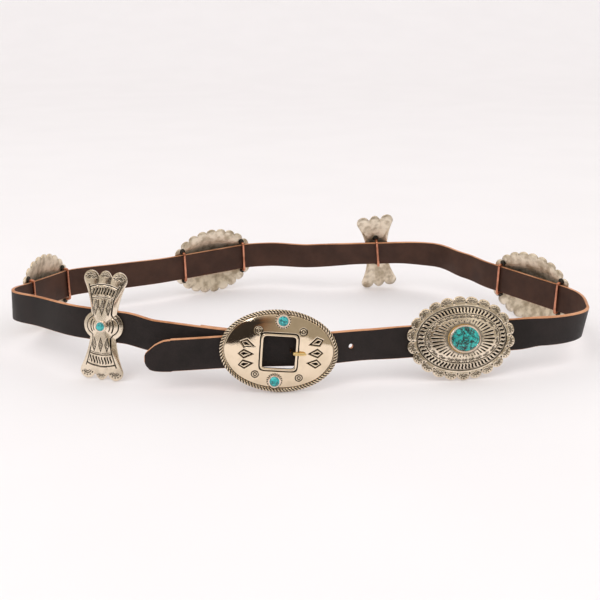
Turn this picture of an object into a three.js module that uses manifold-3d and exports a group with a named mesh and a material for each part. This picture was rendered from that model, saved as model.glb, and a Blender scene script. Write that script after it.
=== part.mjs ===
// A concho belt, fastened into a loop and standing on its edge.
// Four scalloped oval conchos, two butterfly spacers and an open oval buckle are
// strung on a leather strap by copper keepers. All seven ornaments stand on the
// floor and hold the strap clear of it. Millimetres, +Z up, the buckle faces -Y.

import * as THREE from 'three';
import { mergeVertices } from 'three/addons/utils/BufferGeometryUtils.js';
import Module from 'manifold-3d';

// Strap
const STRAP_WIDTH = 24.5;
const STRAP_THICKNESS = 2.7;
const LOOP_WIDTH = 475;
const LOOP_DEPTH = 290;
const TONGUE_LENGTH = 99;
const TONGUE_DROP = 3.4;
const TIP_LENGTH = 16;
const HOLE_DIAMETER = 4.2;
const HOLE_PITCH = 22.2;
const HOLE_COUNT = 3;
const FOLD_LENGTH = 46;
const RIVET_SETBACK = 33;
const RIVET_DIAMETER = 3.6;
const RIVET_CAP_DIAMETER = 9;
const RIVET_CAP_HEIGHT = 1.2;

// Sheet silver and fittings
const PLATE_WALL = 1.3;
const KEEPER_WIRE = 2.0;
const KEEPER_SLACK = 0.6;
const GAP = 0.3;

// Oval concho
const OVAL_WIDTH = 87.5;
const OVAL_HEIGHT = 65;
const OVAL_RISE = 6.6;
const OVAL_LOBES = 22;
const OVAL_LOBE_DEPTH = 2.3;
const OVAL_KEEPER_SPACING = 63;

// Butterfly spacer
const WING_WIDTH = 35.5;
const WING_HEIGHT = 84;
const WING_RISE = 4.2;
const WAIST_WIDTH = 21.4;
const WAIST_HEIGHT = 18.6;
const BULGE_WIDTH = 32.6;

// Buckle
const BUCKLE_WIDTH = 88.4;
const BUCKLE_HEIGHT = 62.6;
const BUCKLE_RISE = 5.2;
const ROPE_DIAMETER = 3.4;
const WINDOW_SIZE = 24.4;
const WINDOW_FRAME = 1.6;
const WINDOW_FRAME_DEPTH = 2.4;
const BAR_DIAMETER = 3.2;
const BAR_OFFSET = -12.8;
const BAR_CLEARANCE = 2.2;
const PRONG_WIRE = 2.0;
const PRONG_HOLE_OFFSET = 9.3;
const PRONG_OVERHANG = 6.5;

// Stones, each a cabochon in a soldered bezel cup
const OVAL_STONE = { width: 22, height: 18.2, rise: 4.2 };
const BUCKLE_STONE = { width: 7.4, height: 7.4, rise: 3.4 };
const WING_STONE = { width: 6.6, height: 6.6, rise: 3.0 };
const OVAL_BEZEL = { wall: 1.3, skirt: 2.0, lip: 2.2 };
const SMALL_BEZEL = { wall: 1.0, skirt: 1.4, lip: 1.5 };
const BUCKLE_STONE_SPOTS = [
  { name: 'buckle_stone_top', x: 1.6, y: 23.6 },
  { name: 'buckle_stone_bottom', x: -1.9, y: -22 },
];

// Rise of each dome from rim to crown, as shares of its half size and its rise
const DOME = [
  { radius: 1.0, rise: 0.0 },
  { radius: 0.86, rise: 0.16 },
  { radius: 0.55, rise: 0.68 },
  { radius: 0.32, rise: 0.97 },
  { radius: 0.0, rise: 1.0 },
];

// Rise of the buckle's dome from window to rim, as shares of the way and of its rise
const BUCKLE_DOME = [
  { share: 0.0, rise: 1.0 },
  { share: 0.5, rise: 0.72 },
  { share: 1.0, rise: 0.0 },
];

// Corner lobe and middle lobe of a wing's end, as shares of half width and half height
const WING_LOBES = {
  corner: { x: 0.655, y: 0.853, radius: 0.345 },
  middle: { x: 0.0, y: 0.905, radius: 0.24 },
};

// The strap's end: its two edges, as shares of the strap width from the middle
const TIP = [
  { along: 0.0, top: 0.05, bottom: -0.36 },
  { along: 0.08, top: 0.09, bottom: -0.45 },
  { along: 0.26, top: 0.17, bottom: -0.5 },
  { along: 1.0, top: 0.5, bottom: -0.5 },
];

// Stations of the strap's middle line, counter-clockwise seen from above.
// x and y are shares of the loop's width and depth from its middle. Heading is the
// direction of travel, slope its climb, lean how far the top tilts into the loop and
// roll an ornament's own turn on the strap, all in degrees. Height is a share of an
// oval's half height; a station that carries an ornament takes its height from it.
// Before and after are the shares of an ornament's half width, either side of its
// middle, that the strap lies flat behind; where a row has none, all of it.
const ROUTE = [
  { at: 'tongue_tip', x: -0.228, y: -0.499, heading: 0, lean: 6 },
  { at: 'buckle', x: -0.023, y: -0.489, heading: 3.6, lean: 6, roll: -4.5, before: 0.4, after: 0.4 },
  { at: 'front_right_slack', x: 0.119, y: -0.4405, heading: 11.2, lean: 1 },
  { at: 'concho_1', x: 0.269, y: -0.391, heading: 11.1, slope: 0.3, lean: 15 },
  { at: 'right_run', x: 0.4085, y: -0.3495, heading: 7.8, lean: -6, height: 1 },
  { at: 'right_bend', x: 0.492, y: -0.25, heading: 81, lean: -9.5, height: 1 },
  { at: 'concho_2', x: 0.442, y: 0.0815, heading: 132, slope: 4.2, lean: 2.5, before: 0.8 },
  { at: 'back_right_slack', x: 0.343, y: 0.29, heading: 133.1, lean: 2.6 },
  { at: 'back_right_turn', x: 0.284, y: 0.422, heading: 159.8, lean: 9.2 },
  { at: 'butterfly_2', x: 0.172, y: 0.436, heading: 186, lean: 20, roll: -8 },
  { at: 'back_middle', x: 0.031, y: 0.449, heading: 178, slope: -2, lean: 9.5, height: 1.11 },
  { at: 'back_left_crest', x: -0.058, y: 0.488, heading: 182.3, lean: 5.3 },
  { at: 'concho_3', x: -0.17, y: 0.422, heading: 207.9, slope: -3, lean: 3.2, before: 0.75 },
  { at: 'back_left_run', x: -0.337, y: 0.269, heading: 209, lean: 0, height: 0.92 },
  { at: 'concho_4', x: -0.46, y: 0.0575, heading: 256, slope: 5, lean: -4, before: 0.72, after: 0.72 },
  { at: 'left_bend', x: -0.4855, y: -0.182, heading: 289.6, slope: 4, lean: 2, height: 1.225 },
  { at: 'left_return', x: -0.432, y: -0.2655, heading: 323.5, slope: 1, lean: 4.8, height: 1.28 },
  { at: 'butterfly_1', x: -0.3025, y: -0.3945, heading: 344, slope: -2.5, lean: 9, roll: 1 },
  { at: 'front_left_turn', x: -0.216, y: -0.4395, heading: 349.8, slope: -4, lean: 5, height: 1.14 },
];

// How finely round forms are faceted
const OVAL_LOBE_FACETS = 3;
const WING_FACETS = 52;
const BUCKLE_FACETS = 52;
const ROPE_FACETS = 5;
const STONE_FACETS = 18;
const SMALL_STONE_FACETS = 12;
const WIRE_STEPS = 10;
const PRONG_STEPS = 16;
const WIRE_FACETS = 3;
const STRAP_TURN_STEP = 7;
const STRAP_LONGEST_STEP = 16;
const SEAT_STOPS = [-1, -0.75, 0, 0.75, 1];

const wasm = await Module();
wasm.setup();

const MATERIALS = {
  leather: { color: 0x302624, roughness: 0.55, metalness: 0.0 },
  silver: { color: 0xb9ad9a, roughness: 0.35, metalness: 1.0 },
  polished: { color: 0xd8cbb6, roughness: 0.15, metalness: 1.0 },
  brass: { color: 0xd6a845, roughness: 0.25, metalness: 1.0 },
  turquoise: { color: 0x2aa59c, roughness: 0.3, metalness: 0.0 },
};

const radians = THREE.MathUtils.degToRad;
const plateOffset = STRAP_THICKNESS / 2 + GAP;

// One closed solid from a geometry, whichever way its faces wind.
function solidOf(geometry) {
  const bare = geometry.index ? geometry : mergeVertices(geometry);
  const clean = bare.clone();
  clean.deleteAttribute('normal');
  clean.deleteAttribute('uv');
  const merged = mergeVertices(clean, 1e-4);
  const points = merged.attributes.position.array;
  const corners = dropSlivers(Array.from(merged.index.array));
  if (signedVolume(points, corners) < 0) corners.reverse();
  const mesh = new wasm.Mesh({
    numProp: 3,
    vertProperties: Float32Array.from(points),
    triVerts: Uint32Array.from(corners),
  });
  return new wasm.Manifold(mesh);
}

function dropSlivers(corners) {
  const kept = [];
  for (let i = 0; i < corners.length; i += 3) {
    const [a, b, c] = corners.slice(i, i + 3);
    if (a !== b && b !== c && c !== a) kept.push(a, b, c);
  }
  return kept;
}

function signedVolume(points, corners) {
  const [a, b, c] = [new THREE.Vector3(), new THREE.Vector3(), new THREE.Vector3()];
  let total = 0;
  for (let i = 0; i < corners.length; i += 3) {
    a.fromArray(points, 3 * corners[i]);
    b.fromArray(points, 3 * corners[i + 1]);
    c.fromArray(points, 3 * corners[i + 2]);
    total += a.dot(b.cross(c)) / 6;
  }
  return total;
}

function geometryOf(solid) {
  const mesh = solid.getMesh();
  const geometry = new THREE.BufferGeometry();
  const points = new Float32Array(mesh.vertProperties);
  geometry.setAttribute('position', new THREE.BufferAttribute(points, mesh.numProp));
  geometry.setIndex(new THREE.BufferAttribute(new Uint32Array(mesh.triVerts), 1));
  geometry.computeVertexNormals();
  return geometry;
}

function joined(...solids) {
  return solids.reduce((whole, piece) => whole.add(piece));
}

function namedMesh(name, solid, material, frame) {
  const mesh = new THREE.Mesh(geometryOf(solid), new THREE.MeshStandardMaterial(MATERIALS[material]));
  mesh.name = name;
  if (frame) mesh.applyMatrix4(frame);
  return mesh;
}

// Moves each point of a geometry: place(point) returns the new point.
function reshaped(geometry, place) {
  const positions = geometry.attributes.position;
  const point = new THREE.Vector3();
  for (let i = 0; i < positions.count; i += 1) {
    point.fromBufferAttribute(positions, i);
    const moved = place(point);
    positions.setXYZ(i, moved.x, moved.y, moved.z);
  }
  return geometry;
}

// A turned form laid over an outline. The profile's points are {radius, height};
// place(index, radius, height) gives the point on the ray through outline point index.
function laidOver(profile, facets, place) {
  const turned = new THREE.LatheGeometry(
    profile.map((row) => new THREE.Vector2(row.radius, row.height)), facets);
  return reshaped(turned, (point) => {
    const turn = Math.atan2(point.x, point.z) / (2 * Math.PI);
    const index = (Math.round(turn * facets) + facets) % facets;
    return place(index, Math.hypot(point.x, point.z), point.y);
  });
}

function wireAlong(points, diameter, steps, tension = 0.5) {
  const path = new THREE.CatmullRomCurve3(points, false, 'catmullrom', tension);
  const section = new THREE.Shape();
  section.absarc(0, 0, diameter / 2, 0, 2 * Math.PI);
  return solidOf(new THREE.ExtrudeGeometry(section, {
    steps, extrudePath: path, curveSegments: WIRE_FACETS, bevelEnabled: false,
  }));
}

// Height of a dome's outer face above its rim, at a share of its half size.
function domeHeight(share, rise) {
  const outer = DOME.findLast((row) => row.radius >= share);
  const inner = DOME.find((row) => row.radius < outer.radius) ?? outer;
  const span = outer.radius - inner.radius || 1;
  const mix = (outer.radius - share) / span;
  return rise * (outer.rise + (inner.rise - outer.rise) * mix);
}

// The closed half section of a domed plate: back from crown to rim, front from rim to crown.
function domeProfile(rise) {
  const back = [DOME[4], DOME[2], DOME[0]].map((row) => (
    { radius: row.radius, height: row.rise * rise }));
  const front = DOME.map((row) => (
    { radius: row.radius, height: row.rise * rise + PLATE_WALL }));
  return [...back, ...front];
}

const ovalCurve = new THREE.EllipseCurve(
  0, 0, OVAL_WIDTH / 2 - OVAL_LOBE_DEPTH, OVAL_HEIGHT / 2 - OVAL_LOBE_DEPTH);
const ovalFacets = OVAL_LOBES * OVAL_LOBE_FACETS;

// A point of the scalloped outline: lobes of even length round the oval.
function ovalPoint(index, radius) {
  const along = index / ovalFacets;
  const point = ovalCurve.getPointAt(along).multiplyScalar(radius);
  const tangent = ovalCurve.getTangentAt(along);
  const swell = Math.sin(Math.PI * ((index / OVAL_LOBE_FACETS) % 1)) ** 0.6;
  const scallop = radius > DOME[1].radius ? OVAL_LOBE_DEPTH * swell : 0;
  return new THREE.Vector2(point.x + tangent.y * scallop, point.y - tangent.x * scallop);
}

// The butterfly's outline, as points of even spacing, starting on the right of the bulge.
function wingOutline() {
  const waist = new THREE.Vector2(WAIST_WIDTH / 2, WAIST_HEIGHT / 2);
  const reach = BULGE_WIDTH / 2;
  const bulgeCentre = (reach ** 2 - waist.lengthSq()) / (2 * (reach - waist.x));
  const bulgeRadius = reach - bulgeCentre;
  const bulgeTurn = Math.atan2(waist.y, waist.x - bulgeCentre);
  const halfWidth = WING_WIDTH / 2;
  const halfHeight = WING_HEIGHT / 2;
  const corner = {
    x: WING_LOBES.corner.x * halfWidth,
    y: WING_LOBES.corner.y * halfHeight,
    radius: WING_LOBES.corner.radius * halfWidth,
  };
  const middle = {
    y: WING_LOBES.middle.y * halfHeight,
    radius: WING_LOBES.middle.radius * halfWidth,
  };
  const cornerFrom = radians(-25);
  const cornerTo = radians(165);
  const middleTurn = radians(28);
  const outline = new THREE.Path();
  outline.absarc(bulgeCentre, 0, bulgeRadius, 0, bulgeTurn, false);
  const start = new THREE.Vector2(Math.cos(cornerFrom), Math.sin(cornerFrom))
    .multiplyScalar(corner.radius).add(new THREE.Vector2(corner.x, corner.y));
  const flare = new THREE.Vector2(waist.x + 0.06 * halfWidth, (waist.y + start.y) / 2);
  outline.quadraticCurveTo(flare.x, flare.y, start.x, start.y);
  outline.absarc(corner.x, corner.y, corner.radius, cornerFrom, cornerTo, false);
  outline.absarc(0, middle.y, middle.radius, middleTurn, Math.PI / 2, false);
  const quarter = outline.getSpacedPoints(WING_FACETS / 4);
  const mirrored = [...quarter];
  quarter.slice(0, -1).reverse().forEach((p) => mirrored.push(new THREE.Vector2(-p.x, p.y)));
  const lower = mirrored.slice(1, -1).reverse();
  lower.forEach((p) => mirrored.push(new THREE.Vector2(p.x, -p.y)));
  return mirrored;
}

const wingPoints = wingOutline();

function wingPoint(index, radius) {
  return wingPoints[index].clone().multiplyScalar(radius);
}

// A domed plate over an outline; pointAt(index, radius) is its point in the plate's plane.
function domedPlate(facets, rise, pointAt) {
  return solidOf(laidOver(domeProfile(rise), facets, (index, radius, height) => {
    const point = pointAt(index, radius);
    return new THREE.Vector3(point.x, point.y, height);
  }));
}

// A bezel: a round or oval cup soldered to the plate, its floor level at the given height.
function bezelCup(stone, bezel, floor, facets) {
  const inner = stone.width / 2 + GAP;
  const outer = inner + bezel.wall;
  const squash = (stone.height / 2 + GAP + bezel.wall) / outer;
  const profile = [
    { radius: 0, height: floor - bezel.skirt },
    { radius: outer, height: floor - bezel.skirt },
    { radius: outer, height: floor + bezel.lip },
    { radius: inner, height: floor + bezel.lip },
    { radius: inner, height: floor },
    { radius: 0, height: floor },
  ];
  return solidOf(laidOver(profile, facets, (index, radius, height) => {
    const turn = (2 * Math.PI * index) / facets;
    return new THREE.Vector3(radius * Math.cos(turn), radius * squash * Math.sin(turn), height);
  }));
}

// A cabochon: straight girdle inside the cup, domed above it.
function cabochon(stone, bezel, floor, facets) {
  const foot = floor + GAP;
  const girdle = floor + bezel.lip;
  const crown = girdle + stone.rise / 2;
  const half = stone.width / 2;
  const profile = [
    { radius: 0, height: foot },
    { radius: half, height: foot },
    { radius: half, height: girdle },
    { radius: half * 0.86, height: girdle + (crown - girdle) * 0.52 },
    { radius: half * 0.5, height: girdle + (crown - girdle) * 0.88 },
    { radius: 0, height: crown },
  ];
  return solidOf(laidOver(profile, facets, (index, radius, height) => {
    const turn = (2 * Math.PI * index) / facets;
    return new THREE.Vector3(
      radius * Math.cos(turn), radius * (stone.height / stone.width) * Math.sin(turn), height);
  }));
}

// A copper wire over the strap's inner face, both ends soldered under the plate.
function keeper(x, plateBack) {
  const side = STRAP_WIDTH / 2 + KEEPER_SLACK + KEEPER_WIRE / 2;
  const behind = -(GAP + STRAP_THICKNESS + KEEPER_SLACK + KEEPER_WIRE / 2);
  const bend = KEEPER_WIRE * 0.7;
  const root = plateBack + PLATE_WALL / 2;
  const points = [
    [x, side, root], [x, side, (root + behind) / 2], [x, side, behind + bend],
    [x, side - bend, behind], [x, 0, behind], [x, bend - side, behind],
    [x, -side, behind + bend], [x, -side, (root + behind) / 2], [x, -side, root],
  ].map(([px, py, pz]) => new THREE.Vector3(px, py, pz));
  return wireAlong(points, KEEPER_WIRE, WIRE_STEPS, 0.25);
}

function ovalConcho() {
  const plate = domedPlate(ovalFacets, OVAL_RISE, ovalPoint);
  const floor = OVAL_RISE + PLATE_WALL + 0.2 * OVAL_BEZEL.skirt;
  const cup = bezelCup(OVAL_STONE, OVAL_BEZEL, floor, STONE_FACETS);
  const half = new THREE.Vector2(OVAL_WIDTH / 2 - OVAL_LOBE_DEPTH, OVAL_HEIGHT / 2 - OVAL_LOBE_DEPTH);
  const share = Math.hypot(
    OVAL_KEEPER_SPACING / 2 / half.x, (STRAP_WIDTH / 2 + KEEPER_SLACK) / half.y);
  const back = domeHeight(Math.min(share, 1), OVAL_RISE);
  const keepers = [-1, 1].map((side) => keeper((side * OVAL_KEEPER_SPACING) / 2, back));
  const stone = cabochon(OVAL_STONE, OVAL_BEZEL, floor, STONE_FACETS);
  return { body: joined(plate, cup, ...keepers), stone };
}

function butterfly() {
  const plate = domedPlate(WING_FACETS, WING_RISE, wingPoint);
  const floor = WING_RISE + PLATE_WALL + 0.2 * SMALL_BEZEL.skirt;
  const cup = bezelCup(WING_STONE, SMALL_BEZEL, floor, SMALL_STONE_FACETS);
  const share = (STRAP_WIDTH / 2 + KEEPER_SLACK) / (WING_HEIGHT / 2);
  const back = domeHeight(share, WING_RISE);
  const stone = cabochon(WING_STONE, SMALL_BEZEL, floor, SMALL_STONE_FACETS);
  return { body: joined(plate, cup, keeper(0, back)), stone };
}

// The buckle's plate: a domed ring from the oval rim to the square window.
function bucklePlate() {
  const windowHalf = WINDOW_SIZE / 2;
  const back = BUCKLE_DOME.map((row, i) => ({ radius: i + 1, height: row.rise * BUCKLE_RISE }));
  const front = back.map((row) => ({ ...row, height: row.height + PLATE_WALL })).reverse();
  const profile = [...back, ...front, back[0]];
  return solidOf(laidOver(profile, BUCKLE_FACETS, (index, radius, height) => {
    const turn = (2 * Math.PI * index) / BUCKLE_FACETS;
    const direction = new THREE.Vector2(Math.cos(turn), Math.sin(turn));
    const square = windowHalf / Math.max(Math.abs(direction.x), Math.abs(direction.y));
    const inner = direction.clone().multiplyScalar(square);
    const point = inner.lerp(buckleRim(index), BUCKLE_DOME[Math.round(radius) - 1].share);
    return new THREE.Vector3(point.x, point.y, height);
  }));
}

function buckleRim(index) {
  const turn = (2 * Math.PI * index) / BUCKLE_FACETS;
  const halfWidth = (BUCKLE_WIDTH - ROPE_DIAMETER) / 2;
  const halfHeight = (BUCKLE_HEIGHT - ROPE_DIAMETER) / 2;
  return new THREE.Vector2(halfWidth * Math.cos(turn), halfHeight * Math.sin(turn));
}

function ropeBorder() {
  const ring = [];
  for (let i = 0; i <= ROPE_FACETS; i += 1) {
    const turn = (2 * Math.PI * i) / ROPE_FACETS;
    ring.push({
      radius: BUCKLE_WIDTH + (ROPE_DIAMETER / 2) * Math.cos(turn),
      height: (ROPE_DIAMETER / 2) * (1 + Math.sin(turn)),
    });
  }
  return solidOf(laidOver(ring, BUCKLE_FACETS, (index, radius, height) => {
    const rim = buckleRim(index);
    const outward = new THREE.Vector2(rim.x / BUCKLE_WIDTH ** 2, rim.y / BUCKLE_HEIGHT ** 2).normalize();
    const point = rim.addScaledVector(outward, radius - BUCKLE_WIDTH);
    return new THREE.Vector3(point.x, point.y, height);
  }));
}

function windowFrame() {
  const outer = WINDOW_SIZE / 2 + WINDOW_FRAME;
  const inner = WINDOW_SIZE / 2 - GAP;
  const square = (half, path) => {
    path.moveTo(-half, -half);
    path.lineTo(half, -half);
    path.lineTo(half, half);
    path.lineTo(-half, half);
    path.closePath();
    return path;
  };
  const shape = square(outer, new THREE.Shape());
  shape.holes.push(square(inner, new THREE.Path()));
  const depth = WINDOW_FRAME_DEPTH;
  const frame = new THREE.ExtrudeGeometry(shape, { depth, bevelEnabled: false });
  return solidOf(frame.translate(0, 0, BUCKLE_RISE));
}

const barDepth = -(2 * GAP + 2 * STRAP_THICKNESS + GAP + BAR_DIAMETER / 2);
const foldRadius = BAR_DIAMETER / 2 + GAP + STRAP_THICKNESS / 2;

// The bar that the strap folds round: a heavy staple soldered behind the plate.
function buckleBar() {
  const side = STRAP_WIDTH / 2 + BAR_CLEARANCE + BAR_DIAMETER / 2;
  const root = buckleHeight(side) - PLATE_WALL / 2;
  const bend = BAR_DIAMETER / 2;
  const points = [
    [side, root], [side, (root + barDepth) / 2], [side, barDepth + bend],
    [side - bend, barDepth], [0, barDepth], [bend - side, barDepth],
    [-side, barDepth + bend], [-side, (root + barDepth) / 2], [-side, root],
  ].map(([y, z]) => new THREE.Vector3(BAR_OFFSET, y, z));
  return wireAlong(points, BAR_DIAMETER, WIRE_STEPS, 0.25);
}

// Height of the buckle's outer face at a given way above or below its middle.
function buckleHeight(y) {
  const share = (y - WINDOW_SIZE / 2) / ((BUCKLE_HEIGHT - ROPE_DIAMETER - WINDOW_SIZE) / 2);
  const outer = Math.max(1, BUCKLE_DOME.findIndex((row) => row.share >= share));
  const [a, b] = [BUCKLE_DOME[outer - 1], BUCKLE_DOME[outer]];
  const mix = (share - a.share) / (b.share - a.share);
  return BUCKLE_RISE * THREE.MathUtils.lerp(a.rise, b.rise, mix) + PLATE_WALL;
}

// The small bezels stand on the dome's slope, so each skirt reaches down its far side.
function buckleBezel(spot) {
  const half = BUCKLE_STONE.width / 2 + GAP;
  const y = Math.abs(spot.y);
  const floor = buckleHeight(y - half) + GAP;
  const foot = buckleHeight(y + half + SMALL_BEZEL.wall) - PLATE_WALL / 2;
  return { floor, bezel: { ...SMALL_BEZEL, skirt: floor - foot } };
}

function buckle() {
  const cups = BUCKLE_STONE_SPOTS.map((spot) => {
    const { floor, bezel } = buckleBezel(spot);
    return bezelCup(BUCKLE_STONE, bezel, floor, SMALL_STONE_FACETS).translate([spot.x, spot.y, 0]);
  });
  return joined(bucklePlate(), ropeBorder(), windowFrame(), buckleBar(), ...cups);
}

function buckleStone(spot) {
  const { floor, bezel } = buckleBezel(spot);
  return cabochon(BUCKLE_STONE, bezel, floor, SMALL_STONE_FACETS).translate([spot.x, spot.y, 0]);
}

// The prong: an eye round the bar, a shank behind the tongue, and a point that comes
// through a hole of the tongue and lies on the window's right side.
function prong() {
  const eyeRadius = BAR_DIAMETER / 2 + GAP + PRONG_WIRE / 2;
  const shank = barDepth + eyeRadius;
  const hole = PRONG_HOLE_OFFSET;
  const rest = BUCKLE_RISE + WINDOW_FRAME_DEPTH + GAP + PRONG_WIRE / 2;
  const edge = WINDOW_SIZE / 2;
  const middle = -(GAP + STRAP_THICKNESS / 2);
  const points = [
    [BAR_OFFSET, shank], [(BAR_OFFSET + hole) / 2, shank], [hole - 3 * PRONG_WIRE / 2, shank + GAP],
    [hole, middle], [hole + PRONG_WIRE / 2, (middle + rest) / 2],
    [edge - PRONG_WIRE / 2, rest - GAP], [edge + PRONG_WIRE, rest],
    [edge + WINDOW_FRAME + PRONG_OVERHANG, rest],
  ].map(([x, z]) => new THREE.Vector3(x, 0, z));
  const ring = [];
  const facets = 2 * WIRE_FACETS;
  for (let i = 0; i <= facets; i += 1) {
    const turn = (2 * Math.PI * i) / facets;
    ring.push(new THREE.Vector2(
      eyeRadius + (PRONG_WIRE / 2) * Math.cos(turn), (PRONG_WIRE / 2) * Math.sin(turn)));
  }
  const eye = solidOf(new THREE.LatheGeometry(ring, SMALL_STONE_FACETS))
    .translate([BAR_OFFSET, 0, barDepth]);
  return joined(eye, wireAlong(points, PRONG_WIRE, PRONG_STEPS));
}

// Along, up and outward directions at a station of the strap.
function axesAt(heading, slope, lean) {
  const along = new THREE.Vector3(Math.cos(heading), Math.sin(heading), Math.tan(slope)).normalize();
  const outward = new THREE.Vector3(Math.sin(heading), -Math.cos(heading), 0);
  const level = new THREE.Vector3().crossVectors(outward, along);
  const up = level.multiplyScalar(Math.cos(lean)).addScaledVector(outward, -Math.sin(lean));
  return { along, up: up.normalize(), outward: new THREE.Vector3().crossVectors(along, up) };
}

// Half width of each ornament, and the outline that meets the floor.
const ORNAMENTS = {
  concho: { half: OVAL_WIDTH / 2, count: ovalFacets, pointAt: (i) => ovalPoint(i, 1) },
  butterfly: { half: BULGE_WIDTH / 2, count: WING_FACETS, pointAt: (i) => wingPoint(i, 1) },
  buckle: { half: BUCKLE_WIDTH / 2, count: BUCKLE_FACETS, pointAt: buckleRim },
};

function ornamentAt(station) {
  return ORNAMENTS[station.at.split('_')[0]];
}

// Height of the strap's middle where an ornament stands with its lowest point on the floor.
function standingHeight(ornament, roll, axes) {
  const onRope = ornament === ORNAMENTS.buckle;
  const face = onRope ? (axes.outward.z - 1) * (ROPE_DIAMETER / 2) : Math.min(0, PLATE_WALL * axes.outward.z);
  let lowest = Infinity;
  for (let i = 0; i < ornament.count; i += 1) {
    const point = ornament.pointAt(i).rotateAround(new THREE.Vector2(), roll);
    lowest = Math.min(lowest, point.x * axes.along.z + point.y * axes.up.z);
  }
  return -(lowest + face + plateOffset * axes.outward.z);
}

// The route in millimetres and radians, with a height and a seat where a row has them.
function stationsOf(route) {
  return route.map((row) => {
    const [heading, slope, lean, roll] = [row.heading, row.slope, row.lean, row.roll]
      .map((angle) => radians(angle ?? 0));
    const ornament = ornamentAt(row);
    const axes = axesAt(heading, slope, lean);
    const given = row.height && (row.height * OVAL_HEIGHT) / 2;
    const height = ornament ? standingHeight(ornament, roll, axes) : given;
    const spot = new THREE.Vector2(row.x * LOOP_WIDTH, row.y * LOOP_DEPTH);
    const half = ornament ? ornament.half : 0;
    const [before, after] = [(row.before ?? 1) * half, (row.after ?? 1) * half];
    return { at: row.at, heading, slope, lean, roll, height, spot, before, after };
  });
}

function hermite(from, to, leave, arrive, t) {
  const t2 = t * t;
  const t3 = t2 * t;
  return from * (2 * t3 - 3 * t2 + 1) + leave * (t3 - 2 * t2 + t)
    + to * (3 * t2 - 2 * t3) + arrive * (t3 - t2);
}

// Rate of change of that curve at t.
function hermiteRate(from, to, leave, arrive, t) {
  const t2 = t * t;
  return (from - to) * (6 * t2 - 6 * t) + leave * (3 * t2 - 4 * t + 1) + arrive * (3 * t2 - 2 * t);
}

// The plan of one leg between two stations: samples of spot, heading and lean.
function legBetween(a, b) {
  const from = a.spot.clone().add(directionOf(a.heading).multiplyScalar(a.after));
  const to = b.spot.clone().sub(directionOf(b.heading).multiplyScalar(b.before));
  const span = from.distanceTo(to);
  const leave = directionOf(a.heading).multiplyScalar(span);
  const arrive = directionOf(b.heading).multiplyScalar(span);
  const turn = Math.abs(THREE.MathUtils.radToDeg(turnBetween(a.heading, b.heading)));
  const steps = Math.ceil(Math.max(turn / STRAP_TURN_STEP, span / STRAP_LONGEST_STEP, 2));
  const samples = [];
  for (let i = 0; i <= steps; i += 1) {
    const t = i / steps;
    const inPlan = (curve) => new THREE.Vector2(
      curve(from.x, to.x, leave.x, arrive.x, t), curve(from.y, to.y, leave.y, arrive.y, t));
    samples.push({
      spot: inPlan(hermite),
      heading: inPlan(hermiteRate).angle(),
      lean: THREE.MathUtils.lerp(a.lean, b.lean, THREE.MathUtils.smoothstep(t, 0, 1)),
    });
  }
  return samples;
}

function directionOf(heading) {
  return new THREE.Vector2(Math.cos(heading), Math.sin(heading));
}

function turnBetween(from, to) {
  return Math.atan2(Math.sin(to - from), Math.cos(to - from));
}

// The bar's station: the strap's outer layer just before the fold, under the tongue.
function barStation(buckleFrame, { heading, lean, roll }) {
  const spot = new THREE.Vector3(BAR_OFFSET, 0, barDepth + foldRadius).applyMatrix4(buckleFrame);
  const flat = new THREE.Vector2(spot.x, spot.y);
  return { spot: flat, height: spot.z, before: 0, after: 0, heading, slope: roll, lean };
}

// Samples of the whole middle line from the tongue's end to the bar, each with its axes.
function middleLine(stations) {
  const samples = [];
  const anchors = [];
  const add = (sample) => {
    const last = samples[samples.length - 1];
    const step = last ? last.spot.distanceTo(sample.spot) : 0;
    if (last && step < 1e-6) return;
    samples.push({ ...sample, length: last ? last.length + step : 0 });
  };
  stations.forEach((station, i) => {
    const { spot, heading, lean, height, slope, before, after } = station;
    if (i > 0) legBetween(stations[i - 1], station).forEach(add);
    const stops = after > 0 ? SEAT_STOPS : [0];
    stops.forEach((share) => {
      const offset = directionOf(heading).multiplyScalar(share * (share < 0 ? before : after));
      add({ spot: spot.clone().add(offset), heading, lean });
      if (share === 0 && height !== undefined) {
        anchors.push({ length: samples[samples.length - 1].length, height, slope, before, after });
      }
    });
  });
  const total = samples[samples.length - 1].length;
  return samples.map((sample) => {
    const point = new THREE.Vector3(sample.spot.x, sample.spot.y, heightAlong(anchors, sample.length));
    const before = Math.max(sample.length - GAP / 2, 0);
    const after = Math.min(sample.length + GAP / 2, total);
    const climb = heightAlong(anchors, after) - heightAlong(anchors, before);
    return { ...sample, point, ...axesAt(sample.heading, Math.atan2(climb, after - before), sample.lean) };
  });
}

// The strap climbs and falls smoothly between the ornaments, and runs straight behind each.
function heightAlong(anchors, length) {
  const held = anchors.find((anchor) => (
    length >= anchor.length - anchor.before - GAP && length <= anchor.length + anchor.after + GAP));
  if (held) return held.height + Math.tan(held.slope) * (length - held.length);
  const next = Math.max(1, anchors.findIndex((anchor) => anchor.length > length));
  const [a, b] = [anchors[next - 1], anchors[next]];
  const leaveAt = a.length + a.after;
  const span = b.length - b.before - leaveAt;
  const [leave, arrive] = [Math.tan(a.slope), Math.tan(b.slope)];
  const from = a.height + leave * a.after;
  const to = b.height - arrive * b.before;
  return hermite(from, to, leave * span, arrive * span, (length - leaveAt) / span);
}

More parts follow.
